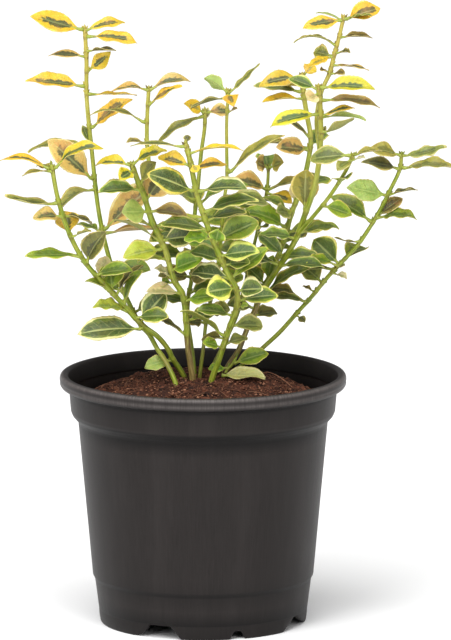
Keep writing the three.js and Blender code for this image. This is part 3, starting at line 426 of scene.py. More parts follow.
# ------------------------------------------------------------------ materials
def leaf_material():
    """Variegated leathery blade. Attributes: blade (along, across, underside), rim, stalk, flush, the
    four colours, feature (patch, vein strength, margin) and seed."""
    n = Nodes("euonymus_leaf", Specular_IOR_Level=0.42, Coat_Weight=0.10, Coat_Roughness=0.35,
              Subsurface_Weight=0.10, Subsurface_Scale=0.0012)
    along, across, under = n.parts("blade")
    patch_reach, vein_strength, margin = n.parts("feature")
    rim, stalk = n.amount("rim"), n.amount("stalk")
    here = n.vector("ADD", n.place(), n.attribute("seed"))
    side = n.math("ABSOLUTE", across)
    # side veins run forward from the midrib and alternate from one half to the other
    offset = n.times(n.math("GREATER_THAN", across, 0.0), 0.5)
    wander = n.times(n.noise(here, 170.0), 1.3)
    run = n.math("SUBTRACT", along, n.times(side, 0.20))
    ripple = n.math("PINGPONG", n.plus(n.plus(n.times(run, 7.5), offset), wander), 0.5)
    vein = n.times(n.step(ripple, 0.0, 0.11, (1.0, 0.0)), n.step(side, 0.62, 0.95, (1.0, 0.0)))
    vein = n.times(vein, n.step(n.noise(here, 150.0, 2.0), 0.36, 0.62))
    net = n.step(n.cells(here, 620.0, "DISTANCE_TO_EDGE"), 0.0, 0.09, (1.0, 0.0))
    lines = n.math("MAXIMUM", n.times(vein, 0.62), n.times(net, 0.22))
    lines = n.math("MAXIMUM", lines, n.step(side, 0.035, 0.11, (1.0, 0.0)))
    # the centre patch feathers out along the side veins
    rough_edge = n.fit(n.noise(here, 130.0, 5.0, 0.62, 0.8), 1.2, -0.6)
    reach = n.plus(n.plus(rim, rough_edge), n.fit(ripple, 0.16, -0.04))
    patch = n.step(n.math("SUBTRACT", reach, patch_reach), -0.10, 0.08)
    deeper = n.plus(reach, n.times(n.noise(here, 320.0, 2.0), 0.3))
    inner = n.step(n.math("SUBTRACT", deeper, patch_reach), 0.06, 0.26)
    color = n.mix(patch, n.attribute("centre", "Color"), n.attribute("body", "Color"))
    color = n.tint(color, n.math("SUBTRACT", patch, inner, clamp=True), 0.55, (138, 138, 62))
    streak = n.noise(n.stretch(n.attribute("blade"), (3.0, 14.0, 1.0)), 1.4, 4.0, 0.6)
    color = n.tint(color, n.step(streak, 0.48, 0.72), 0.35, (128, 122, 46))
    outer = n.plus(n.plus(rim, n.fit(n.noise(here, 150.0), 0.26, -0.13)), margin)
    color = n.mix(n.step(outer, 0.96, 1.05), color, n.attribute("margin", "Color"))
    # orange and pink flush, mottling and small brown specks
    color = n.tint(color, n.step(n.noise(here, 90.0), 0.48, 0.76), n.amount("flush"), (204, 144, 84))
    color = n.tint(color, n.step(side, 0.88, 0.97), 0.7, (212, 196, 128))
    shade = n.fit(n.noise(here, 300.0, 4.0, 0.7), 0.9, -0.45)
    tone = n.node("ShaderNodeHueSaturation", {"Color": color, "Value": n.plus(shade, 1.0)}).outputs[0]
    color = n.tint(tone, lines, n.times(vein_strength, 0.62), (206, 212, 130))
    color = n.tint(color, n.step(n.noise(here, 900.0, 2.0), 0.70, 0.76), 0.5, (92, 70, 34))
    # underside: paler and flatter, with raised pale veins
    pale = n.tint(n.mix(0.72, color, n.attribute("below", "Color")), lines, 0.4, (196, 196, 126))
    color = n.mix(stalk, n.mix(under, color, pale), (150, 160, 62))
    gloss = n.plus(n.fit(n.noise(here, 260.0), 0.22, 0.30), n.times(under, 0.16))
    veins_rise = n.times(lines, n.times(n.fit(under, 2.0, -1.0), 0.8))
    return n.finish(color, gloss, n.plus(veins_rise, n.times(n.noise(here, 1500.0, 2.0), 0.16)), 0.00035)


def stem_material():
    """Green bark. Attributes: bark (round the shoot and slowly along it), wood, node, gold."""
    n = Nodes("euonymus_stem", Specular_IOR_Level=0.4, Subsurface_Weight=0.04, Subsurface_Scale=0.001)
    bark, here = n.attribute("bark"), n.place()
    streak = n.noise(bark, 1.3, 4.0, 0.65)
    patch = n.noise(here, 60.0, 3.0, 0.6)
    color = n.mix(n.step(streak, 0.35, 0.65), (104, 124, 24), (150, 160, 44))
    color = n.tint(color, n.step(patch, 0.45, 0.75), 0.6, (172, 168, 76))
    color = n.tint(color, n.amount("gold"), 0.75, (192, 170, 78))
    color = n.tint(color, n.step(streak, 0.62, 0.70), 0.6, (92, 86, 36))
    brown = n.mix(n.step(streak, 0.3, 0.7), (88, 72, 34), (142, 122, 66))
    wood = n.plus(n.amount("wood"), n.fit(patch, 0.8, -0.4))
    color = n.mix(n.step(wood, 0.35, 0.75), color, brown)
    color = n.tint(color, n.step(n.noise(bark, 0.7), 0.52, 0.66), 0.4, (196, 196, 104))
    scar = n.times(n.amount("node"), n.step(n.noise(here, 900.0, 2.0), 0.35, 0.6))
    color = n.tint(color, scar, 0.75, (104, 84, 40))
    dots = n.step(n.cells(bark, 1.7), 0.13, 0.06)
    color = n.tint(color, dots, 0.5, (128, 104, 56))
    height = n.plus(n.times(streak, 0.5), n.times(dots, 0.4))
    return n.finish(color, n.fit(streak, 0.25, 0.35), height, 0.00025)


def pot_material():
    """Black recycled polypropylene: fine upright moulding grain, dust and scuffs, with painted shade in the
    grooves, on the inner wall and underneath, and a painted highlight on the rim.
    Attributes: round (arc length, height, radius in mm), groove (painted shade) and the rim's painted
    highlight."""
    n = Nodes("nursery_pot", Specular_IOR_Level=0.14)
    around, polish = n.attribute("round"), n.amount("polish")
    grain = n.noise(n.stretch(around, (1.0, 0.05, 1.0)), 1.1, 5.0, 0.7)
    cloud = n.noise(n.stretch(around, (1.0, 0.18, 1.0)), 0.045, 4.0, 0.6)
    pores = n.noise(around, 2.6, 3.0, 0.7)
    color = n.mix(grain, (25, 22, 21), (42, 38, 37))
    color = n.tint(color, n.step(cloud, 0.42, 0.72), 0.5, (46, 42, 41))
    # painted highlight: the rim's glossy bands are painted lighter into the colour
    color = n.tint(color, n.times(polish, n.step(grain, 0.05, 0.85)), 0.95, (104, 98, 96))
    # painted shade: darker in the grooves, on the inner wall under the rim, on the feet and on the floor
    color = n.tint(color, n.times(n.amount("groove"), n.step(pores, 0.15, 0.5)), 0.85, (9, 8, 8))
    scuff = n.step(n.noise(n.stretch(around, (0.35, 1.0, 1.0)), 0.6, 6.0, 0.8, 1.5), 0.68, 0.74)
    color = n.tint(color, scuff, 0.3, (66, 60, 57))
    rough = n.plus(n.fit(grain, 0.2, 0.34), n.times(scuff, 0.15))
    rough = n.math("SUBTRACT", rough, n.times(polish, 0.12))
    return n.finish(color, rough, n.plus(n.times(grain, 0.7), n.times(pores, 0.3)), 0.00012, 0.7)


def soil_material():
    """Moist reddish peat with fibres, crumbs and paler flecks. Attribute: pale."""
    n = Nodes("compost", Specular_IOR_Level=0.25)
    here = n.place()
    lumps = n.noise(here, 110.0, 6.0, 0.7)
    grit = n.noise(here, 700.0, 4.0, 0.7)
    cell = n.node("ShaderNodeSeparateColor", {0: n.cells(here, 420.0, output="Color")}).outputs[0]
    color = n.mix(n.step(lumps, 0.3, 0.7), (30, 16, 11), (78, 42, 28))
    color = n.tint(color, n.step(cell, 0.5, 0.95), 0.6, (116, 68, 46))
    color = n.mix(n.step(grit, 0.60, 0.70), color, (22, 13, 10))
    color = n.tint(color, n.amount("pale"), 0.75, (168, 118, 90))
    return n.finish(color, n.fit(grit, 0.2, 0.68), n.plus(lumps, n.times(grit, 0.6)), 0.0012)


LEAF, STEM, POT, SOIL = leaf_material(), stem_material(), pot_material(), soil_material()


# ------------------------------------------------------------------ pot
collar = RIM_RADIUS - RIM_OVERHANG
rim_base = POT_HEIGHT - RIM_ROLL
shoulder = POT_HEIGHT - COLLAR_DEPTH
body_top = shoulder - SHOULDER_DEPTH
body_radius = collar - 1 - COLLAR_STEP
floor_top = FOOT_HEIGHT + FLOOR_THICKNESS
floor_edge = DRAIN_CIRCLE + 9
WALL_OUTSIDE = [
    (FOOT_RADIUS + 0.4, FOOT_HEIGHT), (BODY_BASE_RADIUS - FOOT_BAND_STEP, FOOT_BAND_HEIGHT - 1),
    (BODY_BASE_RADIUS, FOOT_BAND_HEIGHT + 1.5), (body_radius, body_top),
    (body_radius + 0.6, body_top + 1.6), (collar - 2, shoulder - 2.4), (collar - 1, shoulder),
    (collar, rim_base - 2.4),
]
# The gaps between the feet: angle of the middle from the front, then [along the ring, height].
FOOT_GAPS = (
    (-27, [(-16.5, 0), (-12, 0.9), (-8, 3.4), (-4.5, FOOT_HEIGHT), (9, FOOT_HEIGHT), (16, 0)]),
    (66, [(-16, 0), (-4, FOOT_HEIGHT), (-2, FOOT_HEIGHT), (2.4, 5.6), (6.5, 3.6), (12.5, 1.7), (18, 0)]),
    (20, [(-5, -0.01), (-4.6, 1.2), (-3.6, 3.6), (-1.6, 4.9), (1.4, 4.9), (3, 3.6), (4, 1.2), (4.6, 0)]),
)


def inside_radius(height):
    radii, heights = zip(*WALL_OUTSIDE)
    return float(np.interp(height, heights, radii)) - WALL


def smooth_profile(points, step=7.2, soften=0.55):
    """A profile with each corner rounded to a short arc, and long straights cut into steps."""
    def towards(corner, other):
        gap = other - corner
        length = np.linalg.norm(gap)
        return corner + gap / max(1e-6, length) * min(soften, 0.45 * length)

    points = [np.array(p, float) for p in points]
    rounded = [points[0]]
    for before, corner, after in zip(points, points[1:], points[2:]):
        p, q = towards(corner, before), towards(corner, after)
        rounded += [(1 - t) ** 2 * p + 2 * t * (1 - t) * corner + t * t * q for t in (0, 0.33, 0.67, 1)]
    rounded.append(points[-1])
    full = [rounded[0]]
    for p, q in zip(rounded, rounded[1:]):
        parts = max(1, int(np.linalg.norm(q - p) / step))
        full += [p + (q - p) * (k + 1) / parts for k in range(parts)]
    return np.array(full)


def lathe(build, profile, sides, grooves):
    """A profile turned about the pot's axis, with painted shade in its grooves and on the inner wall under
    the rim, and a painted highlight on the rim.
    """
    angles = full_turn(sides)
    r, z = profile[:, 0:1], profile[:, 1:2]
    arc = np.stack([80 * np.cos(angles) + 0 * r, z + 0 * angles, 80 * np.sin(angles) + r * 0.2], -1)
    groove = np.zeros_like(z)
    # painted shade lines along the pot's grooves and steps
    for height in grooves:
        groove = np.maximum(groove, bell(z - height, 1.6))
    # painted shade on the inner wall below the rim
    groove = np.maximum(groove, np.clip((collar - WALL + 0.3 - r) / 0.4, 0, 1) * (z > POT_HEIGHT - 30))
    # painted highlight bands along the rim's crest
    polish = bell(z - POT_HEIGHT + 0.9, 1.1) + 0.6 * bell(z - POT_HEIGHT + 5, 1.3)
    polish = polish * np.clip((r - RIM_RADIUS + 2.6) / 1.2, 0, 1)
    build.add(ring(r, angles, z), grid_faces(len(profile), sides, wrap=True, flip=True),
              round=arc.reshape(-1, 3), groove=np.repeat(groove, sides, 1).reshape(-1),
              polish=np.repeat(polish, sides, 1).reshape(-1))


def add_wall(build):
    lip, inner = RIM_RADIUS, collar + 0.6
    outside = [(floor_edge, FOOT_HEIGHT), *WALL_OUTSIDE, (collar + 0.1, rim_base - 0.6),
               (collar + 1.8, rim_base), (lip - 1.0, rim_base + 0.7), (lip, rim_base + 2.4),
               (lip - 0.25, POT_HEIGHT - 4.6), (lip, POT_HEIGHT - 3.6), (lip, POT_HEIGHT - 1.9),
               (lip - 0.7, POT_HEIGHT - 0.5), (lip - 2.2, POT_HEIGHT), (inner + 1, POT_HEIGHT),
               (inner, POT_HEIGHT - 1)]
    inside = [(r - WALL, z) for r, z in reversed(WALL_OUTSIDE[1:])]
    inside.insert(1, (collar - WALL + 0.5, rim_base - 2.9))
    profile = smooth_profile([*outside, *inside, (inside_radius(floor_top), floor_top),
                              (floor_edge, floor_top)])
    lathe(build, profile, POT_SIDES, (FOOT_BAND_HEIGHT, body_top + 0.5, rim_base - 1, FOOT_HEIGHT))


def add_feet(build):
    """The ring of feet: its lower edge rises into the gaps between them."""
    turn = full_turn(FOOT_SIDES)
    low = np.zeros_like(turn)
    for half in (0, 180):
        for middle, outline in FOOT_GAPS:
            # an angle from the front (-Y) towards +X
            centre = math.radians(half + middle) - math.pi / 2
            s = ((turn - centre + math.pi) % (2 * math.pi) - math.pi) * FOOT_RADIUS
            along, up = zip(*outline)
            low = np.maximum(low, np.where((s > along[0]) & (s < along[-1]), np.interp(s, along, up), 0))
    top = FOOT_HEIGHT + 0.6
    inner = FOOT_RADIUS - FOOT_THICKNESS
    rings = [ring(radius, turn, low + (top - low) * share) for radius, share in (
        (FOOT_RADIUS + 0.35, 1), (FOOT_RADIUS + 0.25, 0.6), (FOOT_RADIUS - 0.35, 0.12),
        (FOOT_RADIUS - 0.9, 0), (inner + 0.5, 0), (inner, 0.12), (inner, 1))]
    arc = np.stack([80 * np.cos(turn), low, 80 * np.sin(turn)], -1)
    build.add(np.stack(rings), grid_faces(len(rings), len(turn), wrap=True),
              # the feet carry a little painted shade
              round=np.tile(arc, (len(rings), 1)), groove=0.4)


def add_floor(build):
    """Both faces of the floor, drawn to the edges of its drain holes, and the holes' sleeves."""
    radii = np.linspace(floor_edge, PAD_RADIUS - 1, FLOOR_RINGS)[:, None]
    centres = [(DRAIN_CIRCLE * math.cos(a), DRAIN_CIRCLE * math.sin(a))
               for a in (math.radians((i + 0.5) * 360 / DRAINS) for i in range(DRAINS))]
    for z, flip in ((FOOT_HEIGHT, False), (floor_top, True)):
        flat = ring(radii, full_turn(POT_SIDES), z).reshape(-1, 3)
        keep = []
        for face in grid_faces(FLOOR_RINGS, POT_SIDES, wrap=True, flip=flip):
            middle = flat[face].mean(0)
            if all(math.hypot(middle[0] - x, middle[1] - y) > DRAIN_RADIUS for x, y in centres):
                keep.append(face)
        for x, y in centres:
            gap = flat[:, :2] - (x, y)
            distance = np.linalg.norm(gap, axis=1)
            near = (distance < DRAIN_RADIUS + 0.55) & (distance > 0.1)
            flat[near, :2] = (x, y) + gap[near] / distance[near, None] * DRAIN_RADIUS
        # painted shade on both faces of the floor
        build.add(flat, keep, round=flat, groove=0.5)
    for x, y in centres:
        sleeve = ring(DRAIN_RADIUS, full_turn(DRAIN_SIDES), np.array([[FOOT_HEIGHT], [floor_top]]))
        # painted shade inside the drain sleeves
        build.add(sleeve + (x, y, 0), grid_faces(2, DRAIN_SIDES, wrap=True), groove=0.5)


def make_pot():
    build = Build(round="FLOAT_VECTOR", groove="FLOAT", polish="FLOAT")
    add_wall(build)
    add_feet(build)
    add_floor(build)
    pad = smooth_profile([(0.01, 0), (PAD_RADIUS - 1, 0), (PAD_RADIUS, FOOT_HEIGHT + 0.2)])
    lathe(build, pad, PAD_SIDES, (0,))
    return build.object("pot_shell", POT)


# ------------------------------------------------------------------ compost
SOIL_EDGE = POT_HEIGHT - SOIL_DROP
SOIL_RADIUS = inside_radius(SOIL_EDGE) - SOIL_CLEARANCE
ROOT = [(57, -4, 136.5), (54, -2, 139.5), (49, 2, 143.5), (43, 5, 147), (37, 8, 148), (31, 10, 143.5)]
TWIG = [(9, 4, 142), (13, 2, 146.5), (17, 0, 151)]
# A crumb: an uneven lump of twenty facets between two five-cornered rings.
CRUMB_UPPER = ((0.9, 0), (0.25, 0.85), (-0.75, 0.5), (-0.7, -0.55), (0.3, -0.85))
CRUMB_LOWER = ((0.7, 0.5), (-0.3, 0.85), (-0.9, 0), (-0.25, -0.85), (0.75, -0.5))
CRUMB = np.array([(0, 0, 1), *((x, y, 0.3) for x, y in CRUMB_UPPER),
                  *((x, y, -0.45) for x, y in CRUMB_LOWER), (0, 0, -1)])
CRUMB_FACETS = []
for corner in range(5):
    a, b = 1 + corner, 1 + (corner + 1) % 5
    CRUMB_FACETS += [(0, a, b), (a, a + 5, b), (b, a + 5, b + 5), (a + 5, 11, b + 5)]


def soil_height(radius):
    return float(SOIL_EDGE + MOUND_RISE * (1 - min(1, radius / SOIL_RADIUS) ** MOUND_POWER))


def spot(rng, margin):
    """A random place on the compost, as its radius, x and y."""
    radius = (SOIL_RADIUS - margin) * math.sqrt(rng.random())
    angle = rng.uniform(-math.pi, math.pi)
    return radius, radius * math.cos(angle), radius * math.sin(angle)


def add_mound(build):
    verts = []
    for radius in (SOIL_RADIUS + 0.3) * np.linspace(1, 0.0, SOIL_RINGS) ** 0.75:
        fade = min(1, 0.35 + (SOIL_RADIUS - radius) / 12)
        for angle in full_turn(SOIL_SIDES):
            x, y = radius * math.cos(angle), radius * math.sin(angle)
            place = Vector((x, y, 0))
            lump = noise.fractal(place * 0.09, 0.8, 2.1, 4) * 2.2
            crumb = abs(noise.fractal(place * 0.45, 0.7, 2.2, 3)) * 1.5
            grit = noise.noise(place * 1.7) * 0.45
            verts.append((x, y, soil_height(radius) - 0.6 + (lump + crumb) * fade + grit))
    build.add(verts, grid_faces(SOIL_RINGS, SOIL_SIDES, wrap=True))


def add_crumbs(build, rng):
    """Small rough lumps, the paler ones mostly at the front."""
    for _ in range(CRUMBS):
        radius, x, y = spot(rng, 2)
        size = rng.choice((0.3, 0.35, 0.4, 0.45, 0.6, 0.85)) * rng.uniform(0.7, 1.3)
        squash = np.array([rng.uniform(0.7, 1.4), rng.uniform(0.7, 1.4), rng.uniform(0.5, 0.9)])
        jitter = np.array([[rng.uniform(-0.22, 0.22) for _ in range(3)] for _ in CRUMB])
        spin = rng.uniform(0, 6.3)
        c, s = math.cos(spin), math.sin(spin)
        lump = ((CRUMB + jitter) * squash * size) @ np.array([[c, -s, 0], [s, c, 0], [0, 0, 1]]).T
        pale = 1.0 if rng.random() < (0.24 if y < -8 else 0.07) else rng.uniform(0, 0.25)
        rise = soil_height(radius) + 0.15 * size + rng.uniform(0, 0.8)
        build.add(lump + (x, y, rise), CRUMB_FACETS, pale=pale)


def add_fibres(build, rng):
    """Fibres and root hairs: short bent threads that hop over the compost."""
    for _ in range(FIBRES):
        _, x, y = spot(rng, 5)
        heading, length = rng.uniform(0, 6.3), rng.uniform(4, 15)
        bend, hop = rng.uniform(-0.9, 0.9), rng.uniform(0.2, 1.3)
        points = []
        for k in range(7):
            share = k / 6
            here = math.hypot(x, y)
            if here < SOIL_RADIUS - 0.8:
                rise = 0.5 + hop * math.sin(math.pi * share)
                points.append((x, y, soil_height(min(SOIL_RADIUS - 1, here)) + rise))
            x += math.cos(heading + bend * share) * length / 6
            y += math.sin(heading + bend * share) * length / 6
        if len(points) > 3:
            thick = rng.uniform(0.10, 0.26)
            verts, faces, _ = tube(points, [thick] * len(points), 4)
            build.add(verts, faces, pale=rng.choice((0.0, 0.2, 0.55)))


def make_soil():
    rng = random.Random(11)
    build = Build(pale="FLOAT")
    add_mound(build)
    add_crumbs(build, rng)
    add_fibres(build, rng)
    # a pale root that arches out of the compost, and a snapped twig
    for places, thick, pale in ((ROOT, 0.38, 0.6), (TWIG, 0.75, 0.3)):
        line = spline(places)
        shares = [k / 24 for k in range(25)]
        verts, faces, _ = tube([line(t) for t in shares], [thick * (1 - 0.35 * t) for t in shares], 7)
        build.add(verts, faces, pale=pale)
    return build.object("compost", SOIL)


# ------------------------------------------------------------------ shoots
# Woody stretches: shoot, from and to (height over the rim), strength.
WOODY = {"centre_left": (-5, 22, 0.8), "right_back": (-5, 42, 0.75), "left_outer": (20, 34, 0.45),
         "centre_front": (-5, 12, 0.4), "right_outer": (-5, 10, 0.45), "centre_thin": (-5, 20, 0.5),
         "centre_back": (-5, 24, 0.5), "left_tall": (-5, 14, 0.4), "back_thin": (-5, 20, 0.4)}
BUD_SHAPE = (0.7, 0.95, 1.0, 0.88, 0.64, 0.36, 0.08)


def line_of(shoot):
    points = [np.array(p, float) + (0, 0, POT_HEIGHT) for p in shoot["points"]]
    if "base" in shoot:
        x, y = shoot["base"]
        surface = soil_height(math.hypot(x, y))
        foot = np.array((x, y, surface))
        buried = foot - 0.4 * ROOT_DEPTH * unit(points[0] - foot)
        buried[2] = surface - ROOT_DEPTH
        points = [buried, foot, *points]
    return spline(points)


def node_at(line, height):
    """Where a shoot's line reaches a height: the point, the line's heading and its place on it."""
    i = 1
    while i < NODE_SAMPLES and line(i / NODE_SAMPLES)[2] < height:
        i += 1
    t = i / NODE_SAMPLES
    return line(t), unit(line(min(1, t + 1e-4)) - line(t - 1e-4)), t


def taper(share):
    return 1.04 - 0.16 * share


def add_bark(build, name, radius, line, nodes):
    """The shoot's bark, swollen at its nodes. Returns how golden its tip is."""
    raw = np.array([line(i / STEM_SAMPLES) for i in range(STEM_SAMPLES + 1)])
    lengths = np.concatenate([[0], np.cumsum(np.linalg.norm(np.diff(raw, axis=0), axis=1))])
    total = lengths[-1]
    count = int(total / STEM_STEP) + 2
    s = np.linspace(0, total, count)
    points = np.stack([np.interp(s, lengths, raw[:, k]) for k in range(3)], -1)
    swell, scar = np.zeros(count), np.zeros(count)
    for *_, t in nodes:
        at = float(np.interp(t, np.linspace(0, 1, STEM_SAMPLES + 1), lengths))
        swell = np.maximum(swell, bell(s - at - 0.3, 1.5))
        scar = np.maximum(scar, bell(s - at + 0.8, 0.9))
    wobble = np.array([noise.noise(Vector((v * 0.09, radius, 3.0))) for v in s]) * 0.05
    radii = radius * taper(s / total) * (1 + 0.15 * swell + wobble)
    radii[-2:] *= (0.8, 0.35)
    verts, faces, angles = tube(points, radii, STEM_SIDES, squarish=0.035)
    bark = np.stack([np.cos(angles) * radius, np.sin(angles) * radius, np.repeat(s, STEM_SIDES) * 0.09], -1)
    low, high, strength = WOODY.get(name, (-5, 4, 0.3))
    up = np.repeat(points[:, 2] - POT_HEIGHT, STEM_SIDES)
    wood = strength * np.clip((up - low) / 3 + 1, 0, 1) * np.clip((high - up) / 8 + 1, 0, 1)
    gold = np.clip((up - 110) / 90, 0, 1)
    build.add(verts, faces, bark=bark, wood=wood, node=np.repeat(scar, STEM_SIDES), gold=gold)
    return gold[-1]


def grow_stem(build, name, radius, line, nodes, rng):
    """The shoot, with a bud in each axil and three at its tip."""
    gold = add_bark(build, name, radius, line, nodes)

    def bud(base, way, length, thick, brown):
        path = [base + way * length * k / 6 for k in range(7)]
        verts, faces, _ = tube(path, [thick * f for f in BUD_SHAPE], SMALL_SIDES)
        build.add(verts, faces, bark=(0.5, 0.2, 0.3), wood=brown, node=0.2, gold=gold)

    for point, heading, out, t in nodes:
        seat = out * radius * taper(t) * 0.75
        bud(point + seat + heading, unit(out * 0.55 + heading), rng.uniform(1.6, 2.6),
            rng.uniform(0.45, 0.7), rng.choice((0.1, 0.35, 0.6)))
        if rng.random() < 0.45:
            bud(point - seat + heading, unit(heading - out * 0.55), rng.uniform(1.3, 2.2),
                rng.uniform(0.4, 0.6), rng.choice((0.1, 0.5)))
    end = line(1.0)
    way = unit(end - line(0.985))
    bud(end - way * 0.4, way, 2.6, radius * 0.6, 0.15)
    for sign in (-1, 1):
        bud(end - way * 0.8, unit(way + np.array((sign * 0.5, -0.25, 0))), 1.7, radius * 0.36, 0.25)


# ------------------------------------------------------------------ leaves
OUTLINE_AT = (0, 0.05, 0.12, 0.22, 0.34, 0.46, 0.56, 0.68, 0.78, 0.86, 0.92, 0.965, 1)
OUTLINE = (0.10, 0.19, 0.40, 0.70, 0.92, 1, 0.975, 0.86, 0.68, 0.48, 0.31, 0.16, 0.02)
ACROSS = np.array((-1, -0.84, -0.6, -0.34, -0.12, 0, 0.12, 0.34, 0.6, 0.84, 1))
ALONG = np.concatenate([np.linspace(0, 0.8, 30), np.linspace(0.82, 1, 11)])
FLUSH = {"t": 0.6, "g": 0.4, "G": 0.35, "n": 0.3, "y": 0.12, "p": 0.4}
LEAF_ATTRIBUTES = {"blade": "FLOAT_VECTOR", "rim": "FLOAT", "stalk": "FLOAT", "flush": "FLOAT",
                   "centre": "FLOAT_COLOR", "body": "FLOAT_COLOR", "margin": "FLOAT_COLOR",
                   "below": "FLOAT_COLOR", "feature": "FLOAT_VECTOR", "seed": "FLOAT_VECTOR"}


def blade_faces(rows, columns):
    """An upper and a lower grid, and the edge that joins them."""
    n = rows * columns
    faces = grid_faces(rows, columns) + grid_faces(rows, columns, start=n, flip=True)
    border = ([r * columns for r in range(rows)] + [(rows - 1) * columns + c for c in range(1, columns)]
              + [r * columns + columns - 1 for r in range(rows - 2, -1, -1)]
              + [c for c in range(columns - 2, 0, -1)])
    return faces + [[a, b, b + n, a + n] for a, b in zip(border, border[1:] + border[:1])]


BLADE_FACES = blade_faces(len(ALONG), len(ACROSS))


def leaf_look(tone, rng):
    """A leaf's own shade of its tone."""
    *colors, patch, veins, margin = TONES[tone]
    shift = rng.uniform(-0.10, 0.10)
    bright = rng.uniform(0.88, 1.1)
    look = {}
    for key, rgb in zip(("centre", "body", "margin", "below"), colors):
        r, g, b = linear(rgb)
        look[key] = (r * bright * (1 + shift), g * bright, b * bright * (1 - shift), 1)
    look["feature"] = (patch * rng.uniform(0.75, 1.2), veins, margin * rng.uniform(0.7, 1.3))
    look["flush"] = FLUSH.get(tone, 0.05)
    look["seed"] = [rng.uniform(0, 3) for _ in range(3)]
    return look


def blade_section(length, width, wave, rng):
    """Each point's place across the blade and its rise: outline, teeth, fold, waves and twist."""
    u, v = ALONG, ACROSS
    half = np.interp(u ** rng.uniform(0.86, 1.12), OUTLINE_AT, OUTLINE) * width / 2
    x = v[None, :] * half[:, None]
    # blunt teeth that point forward, on the margin only
    teeth = rng.randint(9, 13)
    for edge, sign in ((0, -1), (-1, 1)):
        saw = (u * teeth + rng.random()) % 1
        bite = (saw ** 1.6 - 0.4) * 0.055 * np.clip((u - 0.2) / 0.15, 0, 1) * np.clip((1 - u) / 0.1, 0, 1)
        x[:, edge] += sign * half * bite
    fold = 0.42 * rng.uniform(0.6, 1.3)
    z = fold * (np.sqrt(x ** 2 + 1.0) - 1.0) + rng.uniform(-0.16, 0.12) * half[:, None] * np.abs(v) ** 3
    waves, phase = rng.uniform(1.2, 2.8), rng.random()
    size = rng.uniform(0.3, 0.85) * wave * min(1.0, width / 11)
    for columns, shift in ((v < 0, 0.0), (v > 0, rng.random())):
        ripple = np.sin(2 * math.pi * (waves * u + phase + shift))[:, None] * np.abs(v[columns]) ** 1.6
        z[:, columns] += size * ripple
    quilt = np.cos(2 * math.pi * (7.5 * (u[:, None] - 0.2 * np.abs(v)) + 0.5 * (v > 0)))
    z = z - 0.10 * quilt * np.abs(v) * (1 - np.abs(v)) * 3
    z = z - (rng.uniform(0.0, 0.05) * length * np.clip((u - 0.72) / 0.28, 0, 1) ** 2)[:, None]
    twist = (math.radians(rng.uniform(-14, 14)) * u ** 1.5)[:, None]
    return x, x * np.cos(twist) - z * np.sin(twist), x * np.sin(twist) + z * np.cos(twist)


def grow_leaf(build, root, start, tip, width, lean, arch, tone, rng, wave=1.0):
    """A blade and its petiole, along an arched midrib from start to tip."""
    length = float(np.linalg.norm(tip - start))
    along = (tip - start) / length
    lean = math.radians(lean)
    face = np.array((0, -math.sin(lean), math.cos(lean)))
    face = unit(face - along * face.dot(along))
    side = np.cross(face, along)
    middle = (start + tip) / 2 + face * 2 * arch * length

    def midrib(t):
        """Points at t, and the way up from the blade there."""
        t = np.asarray(t)[..., None]
        place = (1 - t) ** 2 * start + 2 * t * (1 - t) * middle + t * t * tip
        return place, unit(np.cross(unit((1 - t) * (middle - start) + t * (tip - middle)), side))

    stalk = min(0.3, PETIOLE_LENGTH / length)
    u, v = ALONG[:, None], np.abs(ACROSS)
    centre, up = midrib(stalk + (1 - stalk) * ALONG)
    x, xs, zs = blade_section(length, width, wave, rng)
    thick = 0.44 - 0.2 * v
    groove = bell(x, 0.55)
    rises = (thick / 2 - 0.12 * groove, -thick / 2 - 0.28 * groove * (1 - 0.6 * u))
    verts = [centre[:, None, :] + side * xs[..., None] + up[:, None, :] * (zs + rise)[..., None]
             for rise in rises]
    blade = [np.stack(np.broadcast_arrays(u, ACROSS, under + 0 * x), -1) for under in (0, 1)]
    rim = np.maximum(v, np.clip((u - 0.5) / 0.5, 0, 1) ** 1.8)
    rim = np.maximum(rim, 0.75 * np.clip((0.22 - u) / 0.22, 0, 1))
    look = leaf_look(tone, rng)
    build.add(verts, BLADE_FACES, blade=np.stack(blade), rim=np.tile(rim.reshape(-1), 2), **look)
    # petiole, from inside the shoot to under the blade's base
    place, up = midrib(np.linspace(0, stalk + 0.16 * (1 - stalk), 9)[1:])
    path = np.concatenate([[root], place - 0.25 * up])
    radii = np.interp(np.linspace(0, 1, 9), (0, 0.25, 0.6, 1), (1.35, 0.95, 0.72, 0.25))
    verts, faces, _ = tube(path, radii * min(1, 0.55 + width / 26), SMALL_SIDES)
    build.add(verts, faces, blade=(0.0, 0.5, 0.0), rim=0.5, stalk=1.0, **look)


